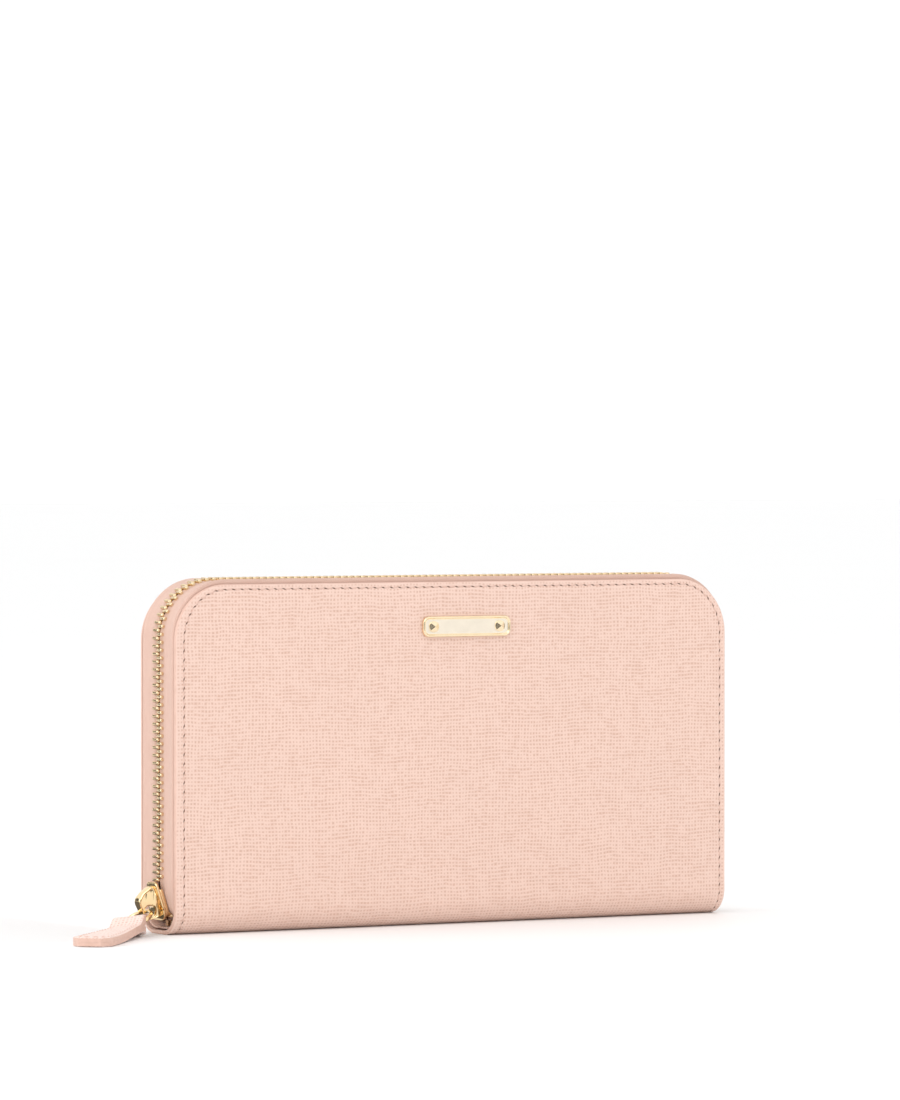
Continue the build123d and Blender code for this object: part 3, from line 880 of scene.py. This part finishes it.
# Sections of a tooth: distance from the middle line, half length along the chain, half height, rounding
TOOTH_SECTIONS = [
    (-2.88, 0.34, 0.80, 0.25), (-2.78, 0.44, 1.00, 0.25), (-2.45, 0.50, 1.10, 0.22),
    (-1.30, 0.50, 1.10, 0.22), (-0.75, 0.42, 0.98, 0.25), (-0.20, 0.50, 1.00, 0.30),
    (0.25, 0.52, 0.92, 0.35), (0.50, 0.40, 0.66, 0.30), (0.58, 0.20, 0.40, 0.20),
]


def rounded_section(half_a, half_b, rounding):
    """Twelve points round a rectangle with rounded corners."""
    points = []
    for quarter in range(4):
        centre_a = (half_a - rounding * half_a) * (1 if quarter in (0, 3) else -1)
        centre_b = (half_b - rounding * half_a) * (1 if quarter in (0, 1) else -1)
        for k in range(3):
            angle = math.pi / 2 * (quarter + k / 2)
            points.append((centre_a + math.cos(angle) * rounding * half_a,
                           centre_b + math.sin(angle) * rounding * half_a))
    return points


def tooth_row(side, pitch, count, offset, place, sections, scale=1.0):
    """One row of cast teeth, each waisted behind a domed head."""
    shape = Shape()
    for k in range(count):
        centre, heading = place((k + offset) * pitch)
        along = Vector((math.cos(heading), 0, math.sin(heading)))
        out = Vector((-math.sin(heading), 0, math.cos(heading)))
        rows = []
        for distance, half_a, half_b, rounding in sections:
            ring = rounded_section(half_a * scale, half_b * scale, rounding / 0.5)
            middle = centre + Vector((0, -side * distance * scale, 0))
            row = [middle + along * a + out * b for a, b in ring]
            rows.append(row if side == FRONT else row[::-1])
        shape.loft(rows)
    return shape


def main_chain():
    """Both rows of the main zip's teeth."""
    place, total = chain_frames()
    count = int(total / TOOTH_PITCH - 0.5)
    for side, offset, extra in ((FRONT, 0.0, 0), (BACK, -0.5, 1)):
        node = "zip_teeth_" + COVERS[side]
        shape = tooth_row(side, TOOTH_PITCH, count + extra, offset, place, TOOTH_SECTIONS)
        made = smooth_but_sharp(shape.build(node + "_cast", [TOOTH_GOLD]), 50)
        finish_piece(made, COVERS[side] + "_cover", "zip_metal", node)


# ---------------------------------------------------------------- slider, ring and pull

def slider_matrix():
    """The slider's own frame: -X out of the wallet, +Z along the chain."""
    return Matrix.Translation(SLIDER_CENTRE) @ Matrix.Rotation(SLIDER_TILT, 4, "Y")


def spread(line, count):
    """Even places along a line, from its start to one step before its end."""
    lengths = [0.0]
    for a, b in zip(line, line[1:]):
        lengths.append(lengths[-1] + math.dist(a, b))
    places, edge = [], 0
    for k in range(count):
        wanted = lengths[-1] * k / count
        while lengths[edge + 1] < wanted:
            edge += 1
        t = (wanted - lengths[edge]) / (lengths[edge + 1] - lengths[edge])
        places.append(tuple(a + (b - a) * t for a, b in zip(line[edge], line[edge + 1])))
    return places


def softened(points, samples, passes):
    """Closed outline resampled evenly and rounded off."""
    line = spread(points + points[:1], samples)
    for _ in range(passes):
        line = [tuple((line[k - 1][c] + 2 * line[k][c] + line[(k + 1) % samples][c]) / 4 for c in range(2))
                for k in range(samples)]
    return line


def shrunk(line, inset):
    """Outline moved inwards; it runs anticlockwise."""
    moved = []
    count = len(line)
    for k, (a, b) in enumerate(line):
        before, after = line[k - 1], line[(k + 1) % count]
        tangent = Vector((after[0] - before[0], after[1] - before[1])).normalized()
        moved.append((a - tangent.y * inset, b + tangent.x * inset))
    return moved


def rounded_plate(shape, line, low, high, bevel, place):
    """Plate between two heights with both rims rounded over."""
    levels = [(bevel, low), (bevel * 0.3, low + bevel * 0.3), (0, low + bevel),
              (0, high - bevel), (bevel * 0.3, high - bevel * 0.3), (bevel, high)]
    shape.loft([[place(a, b, h) for a, b in shrunk(line, inset)] for inset, h in levels])


def slider_metal():
    """Slider: two rounded plates, the walls between them with the tape's slots, and the wedge."""
    half = 5.9
    plan = [(-2.6, half), (-3.1, half - 0.8), (-4.9, -3.2), (-4.6, -4.8), (-3.4, -half),
            (3.4, -half), (4.6, -4.8), (4.9, -3.2), (3.1, half - 0.8), (2.6, half)]
    line = softened(plan, 60, 3)
    shape = Shape()

    def place(a, b, h):
        return Vector((-h, -a, b))

    channel, outer = 1.35, 2.3
    rounded_plate(shape, line, channel, outer, 0.3, place)
    rounded_plate(shape, line, -outer, -channel, 0.3, place)
    wall = [(3.3, 3.6), (4.05, 0.2), (4.75, -3.2), (4.45, -4.6), (3.9, -4.9), (3.95, -3.4), (3.3, 0.0),
            (2.6, 3.6)]
    for mirror in (1, -1):
        strip = [(mirror * a, b) for a, b in wall][::-mirror]
        for low, high in ((0.4, channel + 0.05), (-channel - 0.05, -0.4)):
            rounded_plate(shape, softened(strip, 28, 1), low, high, 0.12, place)
    wedge = softened([(0, -0.6), (-1.5, -4.2), (-1.1, -5.6), (1.1, -5.6), (1.5, -4.2)], 24, 1)
    rounded_plate(shape, wedge, -channel - 0.05, channel + 0.05, 0.1, place)
    made = smooth_but_sharp(shape.build("slider_body_cast", [BRIGHT_GOLD], matrix=slider_matrix()), 40)
    finish_piece(made, "slider", "zip_metal", "slider_body")


# Crown in the slider's frame: its side view, its cross hole, and its half width by height
CROWN_SIDE = [
    (2.3, 4.9), (2.3, -4.8), (5.8, -5.0), (7.0, -4.0), (8.2, 0.6), (8.0, 1.9), (6.4, 3.4), (3.5, 4.7),
]
CROWN_HOLE = (5.0, -2.5)
CROWN_HOLE_R = 1.85
BELL = [(5.2, 1.3), (3.4, 1.6), (1.6, 2.2), (0.4, 2.2), (-2.0, 1.95), (-5.4, 1.85)]
# Rounding of its edges: distance in from the rim or out from the hole, share of the half width
RIM_PROFILE = [
    (0.0, 0.0), (0.0, 0.6), (0.05, 0.82), (0.2, 0.95), (0.42, 1.0), (0.55, 1.0), (0.62, 0.93), (0.9, 0.9),
]
HOLE_PROFILE = [(0.5, 0.9), (0.18, 0.87), (0.03, 0.76), (0.0, 0.4)]


def bell_half_width(s):
    """Half width of the crown at a height: narrow over the nose, widest at its shoulders."""
    for (s1, w1), (s0, w0) in zip(BELL, BELL[1:]):
        if s >= s0:
            return w0 + (w1 - w0) * eased((s - s0) / (s1 - s0))
    return BELL[-1][1]


def flare(reach):
    """Widening of the crown towards its foot on the slider."""
    return 1.2 - 0.45 * (reach - 2.3) / 5.9


def crown_metal():
    """Bell-shaped bridge: rounded rim, flat cheeks and a smooth cross hole for the ring."""
    centre = Vector(CROWN_HOLE)
    shape = Shape()
    rows = []
    for a, b in softened(CROWN_SIDE, 64, 3):
        angle = math.atan2(b - centre.y, a - centre.x)
        edge = Vector((a, b))
        inwards = (centre - edge).normalized()
        near = centre + Vector((math.cos(angle), math.sin(angle))) * CROWN_HOLE_R
        room = (edge - near).length / 1.5
        half = [(edge + inwards * inset * min(1.0, room), wide) for inset, wide in RIM_PROFILE]
        half += [(near - inwards * inset * min(1.0, room), wide) for inset, wide in HOLE_PROFILE]
        ring = half + [(near, 0.0)] + [(place, -wide) for place, wide in half[:0:-1]]
        rows.append([shape.point((-p.x, wide * bell_half_width(p.y) * flare(p.x), p.y)) for p, wide in ring])
    shape.close_round(rows)
    made = shape.build("slider_crown_cast", [BRIGHT_GOLD], matrix=slider_matrix())
    finish_piece(made, "slider", "zip_metal", "slider_crown")


def heading(yaw):
    """Level direction out of the left side, turned towards the front."""
    angle = math.radians(yaw)
    return Vector((-math.cos(angle), -math.sin(angle), 0))


RING_R = 4.4
RING_WIRE_R = 0.65
HOLE_CENTRE = slider_matrix() @ Vector((-CROWN_HOLE[0], 0, CROWN_HOLE[1]))
RING_OUT = heading(7.0)
RING_ACROSS = Vector((0, 0, 1)).cross(RING_OUT)
RING_DOWN = RING_OUT * math.cos(math.radians(30)) - Vector((0, 0, math.sin(math.radians(30))))
RING_CENTRE = HOLE_CENTRE + RING_DOWN * RING_R
PULL_ON_RING = math.radians(32.0)
PULL_OFF_CENTRE = RING_DOWN * math.cos(PULL_ON_RING) + RING_ACROSS * math.sin(PULL_ON_RING)
PULL_PIVOT = RING_CENTRE + PULL_OFF_CENTRE * RING_R
PULL_OUT = heading(46.5)
PULL_SIDE = Vector((0, 0, 1)).cross(PULL_OUT)


def ring_metal():
    """Round wire ring, closed by a fine brazed seam."""
    shape = Shape()
    turns, sides = 96, 20
    normal = RING_ACROSS.cross(RING_DOWN)
    rows = []
    for k in range(turns):
        angle = 2 * math.pi * k / turns
        out = RING_DOWN * math.cos(angle) + RING_ACROSS * math.sin(angle)
        radius = RING_WIRE_R - (0.04 if k == turns // 4 else 0.0)
        row = []
        for n in range(sides):
            round_wire = 2 * math.pi * n / sides
            place = out * (RING_R + radius * math.cos(round_wire)) + normal * radius * math.sin(round_wire)
            row.append(shape.point(RING_CENTRE + place))
        rows.append(row)
    shape.close_round(rows)
    finish_piece(shape.build("pull_ring_wire", [BRIGHT_GOLD]), "ring", "zip_metal", "pull_ring")


PULL_LENGTH = 47.0
PULL_STITCH_PITCH = 2.6
PULL_FLOOR = 0.05 - PULL_PIVOT.z
PULL_TOP = PULL_FLOOR + 2.8
FOLD_OUTER_R = 2.75
FOLD_LENGTH = 4.6
PULL_TWIST = 1.8
TWIST_END = 36.0
BASE_FLAT_FROM = 13.5
FOLD_INNER_R = 1.5


def pull_half_width(x):
    """Plan of the pull: a neck at the ring, shoulders, a slow taper and a clipped end."""
    if x < 5.0:
        return 2.3 + 2.7 * eased((x - 0.2) / 2.8)
    if x < PULL_LENGTH - 3.6:
        return 5.0 + (x - 5.0) / (PULL_LENGTH - 8.6)
    return 6.0 - 2.6 * (x - PULL_LENGTH + 3.6) / 3.6


def pull_lift(x):
    """Share by which the top skin has come down from the fold to the flat strap."""
    return eased((x - 3.5) / 6.5)


def pull_twist(x, v):
    """Height by which the pull's right edge lifts off the floor towards the ring."""
    return PULL_TWIST * (v + 1) / 2 * eased(x / 6.0) * (1 - eased(x / TWIST_END))


def pull_profile():
    """Outer and inner points of the folded strap's side, from the lower tip round the ring to the upper."""
    stations = [47.0, 46.4, 45.2, 43.4, 41.0, 37.0, 33.0, 29.0, 25.0, 21.0, 18.0, 15.0, 12.5, 10.5, 9.0, 7.8,
                6.6, 5.4, 4.4, 3.4, 2.4, 1.4, 0.7]
    middle = (PULL_TOP + PULL_FLOOR) / 2
    upper, lower = [], []
    for x in stations:
        lift = pull_lift(x)
        gap = 0.01 if x > FOLD_LENGTH else 0.0
        split = 1 - x / FOLD_LENGTH if x < FOLD_LENGTH else 0.0
        crease = middle + 0.7 * (1 - eased((x - 6) / 6))
        roof = FOLD_OUTER_R + (PULL_TOP - FOLD_OUTER_R) * lift
        base = -FOLD_OUTER_R + (PULL_FLOOR + FOLD_OUTER_R) * min(1.0, x / BASE_FLAT_FROM)
        upper.append(((x, roof), (x, crease + gap + (FOLD_INNER_R - crease) * split)))
        lower.append(((x, base), (x, crease - gap - (FOLD_INNER_R + crease) * split)))
    turn = []
    for k in range(1, 14):
        angle = math.radians(-90 - 180 * k / 14)
        out = (math.cos(angle), math.sin(angle))
        turn.append(((FOLD_OUTER_R * out[0], FOLD_OUTER_R * out[1]),
                     (FOLD_INNER_R * out[0], FOLD_INNER_R * out[1])))
    return lower + turn + upper[::-1]


def pull_strap():
    """Leather strap folded round the ring: two skins with painted, rounded edges and a seam between them."""
    shape = Shape()
    across = [-1.0, -0.985, -0.94, -0.86, -0.7, -0.45, -0.15, 0.15, 0.45, 0.7, 0.86, 0.94, 0.985, 1.0]
    outer_rows, inner_rows = [], []
    travelled = 0.0
    profile = pull_profile()
    for k, (outer, inner) in enumerate(profile):
        if k:
            travelled += math.dist(outer, profile[k - 1][0])
        half = pull_half_width(outer[0])
        tip = 0.25 if k in (0, len(profile) - 1) else 0.0
        outer_row, inner_row = [], []
        for v in across:
            edge = max(0.0, (abs(v) - 0.86) / 0.14)
            press = 0.22 * edge ** 3 + tip
            puff = 0.10 * (1 - v * v) if 9 < outer[0] < PULL_LENGTH - 2 else 0.0
            share = (press - puff * 0.6) / max(0.3, math.dist(outer, inner))
            a = outer[0] + (inner[0] - outer[0]) * share
            b = outer[1] + (inner[1] - outer[1]) * share
            width = half * v
            foot = PULL_PIVOT + PULL_SIDE * width + Vector((0, 0, pull_twist(outer[0], v)))
            for row, along, up, depth in ((outer_row, a, b, 0), (inner_row, *inner, 1)):
                here = foot + PULL_OUT * along + Vector((0, 0, up))
                row.append(shape.point(here, (travelled, width, depth)))
        outer_rows.append(outer_row)
        inner_rows.append(inner_row)
    for first, second in zip(outer_rows, outer_rows[1:]):
        shape.bridge(first, second, closed=False)
    for first, second in zip(inner_rows, inner_rows[1:]):
        shape.bridge(second, first, 2, closed=False)
    for m in (0, -1):
        outer_line = [row[m] for row in outer_rows]
        inner_line = [row[m] for row in inner_rows]
        pair = (inner_line, outer_line) if m == 0 else (outer_line, inner_line)
        shape.bridge(*pair, slot=1, closed=False)
    shape.bridge(inner_rows[0], outer_rows[0], 1, closed=False)
    shape.bridge(outer_rows[-1], inner_rows[-1], 1, closed=False)
    made = smooth_but_sharp(shape.build("pull_strap", [PULL_CALF, PAINT, LINING_LEATHER]), 40)
    finish_piece(made, "pull", "hide", "pull_leather", "pull_filler")
    pull_stitching()


def pull_stitching():
    """Row of stitches round the pull's upper face."""
    inset = 1.25
    last = PULL_LENGTH - inset - 0.4
    line = [(x, pull_half_width(x) - inset) for x in (9.5, 20.0, 32.0, PULL_LENGTH - 4.0)]
    line.append((last, pull_half_width(last + 0.9) - inset * 0.4))
    line += [(x, -y) for x, y in reversed(line)]
    length = sum(math.dist(a, b) for a, b in zip(line, line[1:]))
    holes = spread(line, round(length / PULL_STITCH_PITCH)) + [line[-1]]

    def place(x, y, depth):
        roof = FOLD_OUTER_R + (PULL_TOP - FOLD_OUTER_R) * pull_lift(x)
        v = y / pull_half_width(x)
        puff = 0.06 * (1 - v ** 2) + pull_twist(x, v)
        return PULL_PIVOT + PULL_OUT * x + PULL_SIDE * y + Vector((0, 0, roof + puff - depth))

    shape = Shape()
    stitches(shape, holes, lambda x, y, depth: place(x, y, depth + 0.02), radius=0.16)
    finish_piece(shape.build("pull_stitching", [STITCH_THREAD]), "pull", "hide")


# ---------------------------------------------------------------- name plate

PLATE_LOW, PLATE_HIGH = corners("name_plate")
PLATE_CORNER_R = 2.1
PLATE_RIM = 0.42


def plate_outline(half_w, half_h, radius, arc_steps=10):
    """Anticlockwise outline of a rounded rectangle, seen from the front."""
    line = []
    for quarter, (a, b) in enumerate(((1, 1), (-1, 1), (-1, -1), (1, -1))):
        for k in range(arc_steps + 1):
            angle = math.pi / 2 * (quarter + k / arc_steps)
            line.append((a * (half_w - radius) + radius * math.cos(angle),
                         b * (half_h - radius) + radius * math.sin(angle)))
    return line


def name_plate():
    """Blank plate: a rolled rim round a satin field."""
    centre = (PLATE_LOW + PLATE_HIGH) / 2
    half_w = (PLATE_HIGH.x - PLATE_LOW.x) / 2
    half_h = (PLATE_HIGH.z - PLATE_LOW.z) / 2
    height = PLATE_HIGH.y - PLATE_LOW.y
    field = height - PLATE_RIM
    levels = [(0.25, 0.0), (0.0, 0.12), (0.0, height - 0.34), (0.08, height - 0.14), (0.2, height - 0.03),
              (0.36, height), (0.5, height - 0.05), (0.62, height - 0.16), (0.7, field + 0.06), (0.78, field),
              (1.0, field)]
    shape = Shape()
    rows = []
    for inset, h in levels:
        line = plate_outline(half_w - inset, half_h - inset, PLATE_CORNER_R - inset * 0.8)
        rows.append([Vector((a + centre.x, PLATE_HIGH.y - h, b + centre.z)) for a, b in line])
    numbered = shape.loft(rows, caps=False)
    shape.face(numbered[0][::-1])
    shape.face(numbered[-1], 1)
    made = smooth_but_sharp(shape.build("name_plate_blank", [RIM_GOLD, SATIN_GOLD]), 60)
    finish_piece(made, "front_cover", "plate_metal", "name_plate")


def plate_studs():
    """Two round studs with four-faceted heads."""
    low, high = corners("plate_studs")
    radius = 1.7
    field = PLATE_LOW.y + PLATE_RIM
    peak = low.y
    z = (PLATE_LOW.z + PLATE_HIGH.z) / 2
    base = 0.22
    count = 48
    tall = field - peak - base
    shape = Shape()
    for x in (low.x + radius, high.x - radius):
        rings = []
        for r, share, lower in ((radius - 0.05, 0, 0.0), (radius, 1, -0.05), (radius * 0.96, 1, 0.0)):
            row = []
            for k in range(count):
                angle = 2 * math.pi * (k + 0.5) / count
                slope = 1 - max(abs(math.cos(angle)), abs(math.sin(angle)))
                up = (base + tall * slope + lower) * share
                row.append(Vector((x + r * math.cos(angle), field - up, z + r * math.sin(angle))))
            rings.append(row)
        numbered = shape.loft(rings, caps=False)
        shape.face(numbered[0][::-1])
        tip = shape.point(Vector((x, peak, z)))
        last = numbered[-1]
        for k in range(count):
            shape.face((last[k], last[(k + 1) % count], tip), 0)
    made = shape.build("plate_stud_heads", [RIM_GOLD], smooth=False)
    finish_piece(made, "front_cover", "plate_metal", "plate_studs")


# ---------------------------------------------------------------- inside

def upright_sheet(name, node, body, slot, radius, materials, crease=True):
    """Flat leather sheet in the place of a CAD one, with a turned, creased top edge and rounded rims."""
    low, high = corners(node)
    side = FRONT if low.y + high.y < 0 else BACK
    near, far = (low.y, high.y) if side == FRONT else (high.y, low.y)
    frames, corner, across = outline(high.x, low.z, high.z, radius, 3.0, 0.0, 2)
    insets = [0.0, 0.12, 0.5, 1.2, 1.5, 1.8, 3.0]
    points, faces = sheet_plan(frames, corner, across, lambda *f: insets, 2, lambda s: False)
    thickness = abs(far - near)

    def front_depth(x, s, inset, column):
        return 0.04 if inset < 0.1 else 0.0

    def back_depth(x, s, inset, column):
        pressed = 0.12 if crease and abs(inset - 1.5) < 0.05 else 0.0
        rounded = 0.12 if inset < 0.1 else 0.0
        return thickness - pressed - rounded

    def place(x, s, depth):
        return Vector((x, near - side * depth, s))

    shape = thick_sheet(points, faces, place, front_depth, back_depth, side == BACK)
    made = smooth_but_sharp(shape.build(name, materials), 50)
    finish_piece(made, body, slot, node)


def card_pockets():
    """Backings and stepped card slots of both covers."""
    for cover in COVERS.values():
        body = cover + "_cover"
        upright_sheet(f"card_backing_{cover}_cloth", f"card_backing_{cover}", body, "pocket_cloth", 8.0,
                      [POCKET_WEAVE] * 3, crease=False)
        for row in range(1, 5):
            node = f"card_slot_{cover}_{row}"
            upright_sheet(node + "_leather", node, body, "lining", 2.0, [CARD_LEATHER, PAINT, CARD_LEATHER])


def coin_pocket():
    """Leather walls of the middle pocket."""
    for cover in COVERS.values():
        node = "coin_pocket_" + cover
        upright_sheet(node + "_leather", node, "spine", "lining", 3.0, [CARD_LEATHER, PAINT, CARD_LEATHER])


def coin_chain():
    """Both rows of the coin pocket's teeth."""
    low, high = corners("coin_zip_teeth_front")
    level = (low.z + high.z) / 2
    pitch = 2.2
    start = low.x + 0.475
    count = round((high.x - low.x) / pitch)
    for side, offset in ((FRONT, 0.0), (BACK, 0.5)):
        node = "coin_zip_teeth_" + COVERS[side]
        shape = tooth_row(side, pitch, count, offset, lambda d: (Vector((start + d, 0, level)), 0.0),
                          TOOTH_SECTIONS, 0.64)
        made = smooth_but_sharp(shape.build(node + "_cast", [TOOTH_GOLD]), 50)
        finish_piece(made, "spine", "zip_metal", node)


def coin_slider_metal():
    """Small slider: two plates, the wedge between them and an arch for its puller."""
    low, high = corners("coin_slider")
    middle = (low.x + high.x) / 2
    half = (high.x - low.x) / 2
    wide = high.y
    thick = 0.7
    upper = low.z + thick + 2.2
    plan = [(half, 0.55 * wide), (0.2 * half, 0.9 * wide), (-0.8 * half, wide), (-half, 0.6 * wide)]
    plan += [(a, -b) for a, b in reversed(plan)]
    shape = Shape()

    def level(a, b, h):
        return Vector((middle + a, b, h))

    rounded_plate(shape, softened(plan, 40, 1), upper, upper + thick, 0.18, level)
    lower_plan = [(a, 0.55 * b) for a, b in plan]
    rounded_plate(shape, softened(lower_plan, 40, 1), low.z, low.z + thick, 0.18, level)
    wedge = [(-0.25 * half, 0.0), (-0.5 * half, 0.7), (-0.9 * half, 0.5), (-0.9 * half, -0.5),
             (-0.5 * half, -0.7)]
    rounded_plate(shape, softened(wedge, 20, 1), low.z + thick - 0.05, upper + 0.05, 0.05, level)
    rise = high.z - upper - thick
    arch = [(2.8, -0.1), (2.5, 0.6 * rise), (1.6, rise), (-1.6, rise), (-2.5, 0.6 * rise), (-2.8, -0.1),
            (-2.0, -0.1), (-1.6, 0.5 * rise), (-1.0, rise - 0.5), (1.0, rise - 0.5), (1.6, 0.5 * rise),
            (2.0, -0.1)]
    rounded_plate(shape, softened(arch, 60, 1), -0.9, 0.9, 0.2,
                  lambda a, b, h: Vector((middle + a, -h, upper + thick + b)))
    made = smooth_but_sharp(shape.build("coin_slider_cast", [RIM_GOLD]), 45)
    finish_piece(made, "coin_slider", "zip_metal", "coin_slider")


def coin_pull_metal():
    """Small forked puller on its pin."""
    low, high = corners("coin_pull")
    tip = high.x
    wide = high.y
    base = high.z - 1.0
    pin_x = low.x + 0.6
    fork = [(tip, 0.55 * wide), (tip - 1.0, wide), (low.x, 0.9 * wide), (low.x, 1.25), (pin_x + 3.3, 1.25)]
    fork += [(a, -b) for a, b in reversed(fork)]
    shape = Shape()
    rounded_plate(shape, softened(fork, 80, 1), base, high.z, 0.2, lambda a, b, h: Vector((a, b, h)))
    pin_z = base + 0.5
    path = [Vector((pin_x, y, pin_z)) for y in (-1.6, -1.5, 0.0, 1.5, 1.6)]
    tube(shape, path, [Vector((0, 0, 1))] * len(path), 0.45, sides=16)
    made = smooth_but_sharp(shape.build("coin_pull_cast", [RIM_GOLD]), 45)
    finish_piece(made, "coin_pull", "zip_metal", "coin_pull")


def repaint(material, *nodes):
    """Gives carried-over CAD nodes their material."""
    for name in nodes:
        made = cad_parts[name]
        made.data.materials.clear()
        made.data.materials.append(material)


# ---------------------------------------------------------------- floor, light and camera

def stage_floor():
    """Pale floor."""
    mesh = flat_mesh("floor", 12.0, 12.0)
    made = placed("floor", mesh)
    material, tree, shader = start_material("pale_floor", 0.6, specular=0.2)
    tone = noise_of(tree, add(tree, "TexCoord").outputs["Object"], 3.0)
    feed(tree, shader.inputs["Base Color"], blend_colours(tree, tone, (0.89, 0.89, 0.89), (0.90, 0.90, 0.90)))
    mesh.materials.append(material)


def card(name, place, towards, width, height, value):
    """Grey card that darkens the metal's reflections without being seen itself."""
    mesh = flat_mesh(name, width / 2, height / 2)
    made = placed(name, mesh)
    aimed(made, place, towards, "Z")
    made.visible_camera = False
    made.visible_diffuse = False
    made.visible_shadow = False
    material, tree, shader = start_material(name, 0.9, specular=0.0)
    shader.inputs["Base Color"].default_value = (value, value, value, 1)
    mesh.materials.append(material)


def soft_light(name, place, towards, size, power):
    """Square soft box."""
    lamp = bpy.data.lights.new(name, "AREA")
    lamp.size = size
    lamp.energy = power
    aimed(placed(name, lamp), place, towards, "-Z")


def studio():
    """White room, a soft box high at the front left, one at the left, and dark cards for the metal."""
    world = bpy.data.worlds.new("studio")
    bpy.context.scene.world = world
    world.use_nodes = True
    background = world.node_tree.nodes["Background"]
    background.inputs["Color"].default_value = (1, 1, 1, 1)
    background.inputs["Strength"].default_value = 1.1
    middle = (0, 0, 0.05)
    soft_light("key", (-0.7, -1.0, 1.3), middle, 1.0, 5.0)
    soft_light("left_fill", (-1.4, 0.25, 0.5), middle, 0.8, 5.0)
    card("dark_card_back", (-0.75, 0.9, 0.2), middle, 0.7, 0.5, 0.13)
    card("dark_card_side", (-1.5, -0.5, 0.3), middle, 0.2, 0.9, 0.3)
    card("dark_card_front", (-0.25, -1.6, 0.12), middle, 1.6, 0.3, 0.06)
    card("dark_card_floor", (-0.16, 0.08, 0.002), (-0.16, 0.08, 1.0), 0.12, 0.19, 0.13)
    bpy.context.scene.view_settings.view_transform = "Standard"


def camera():
    """Level, long-lens view of the front and the left side."""
    data = bpy.data.cameras.new("camera")
    data.lens = 224.13
    data.sensor_width = 36.0
    data.clip_start, data.clip_end = 0.05, 100.0
    made = placed("camera", data)
    made.location = (-1.063015, -1.814246, 0.148988)
    made.rotation_euler = (math.radians(89.0593), 0.0, math.radians(-30.4648))
    bpy.context.scene.camera = made


# ---------------------------------------------------------------- the wallet

camera()
studio()
stage_floor()
for side in COVERS:
    hide(side)
    lining(side)
    zip_tape(side)
main_chain()
slider_metal()
crown_metal()
ring_metal()
pull_strap()
name_plate()
plate_studs()
card_pockets()
coin_pocket()
coin_chain()
coin_slider_metal()
coin_pull_metal()
repaint(BOARD_STOCK, "stiffener_front", "stiffener_back", "stiffener_spine")
repaint(RIM_GOLD, "plate_washers")
repaint(TOOTH_GOLD, "zip_bottom_stop", "zip_top_stops")
repaint(PLAIN_TAPE, "zip_end_tab_left", "zip_end_tab_right", "coin_zip_tape_front", "coin_zip_tape_back")
repaint(POCKET_WEAVE, "coin_pocket_binding", "gusset_front_left", "gusset_front_right",
        "gusset_back_left", "gusset_back_right")
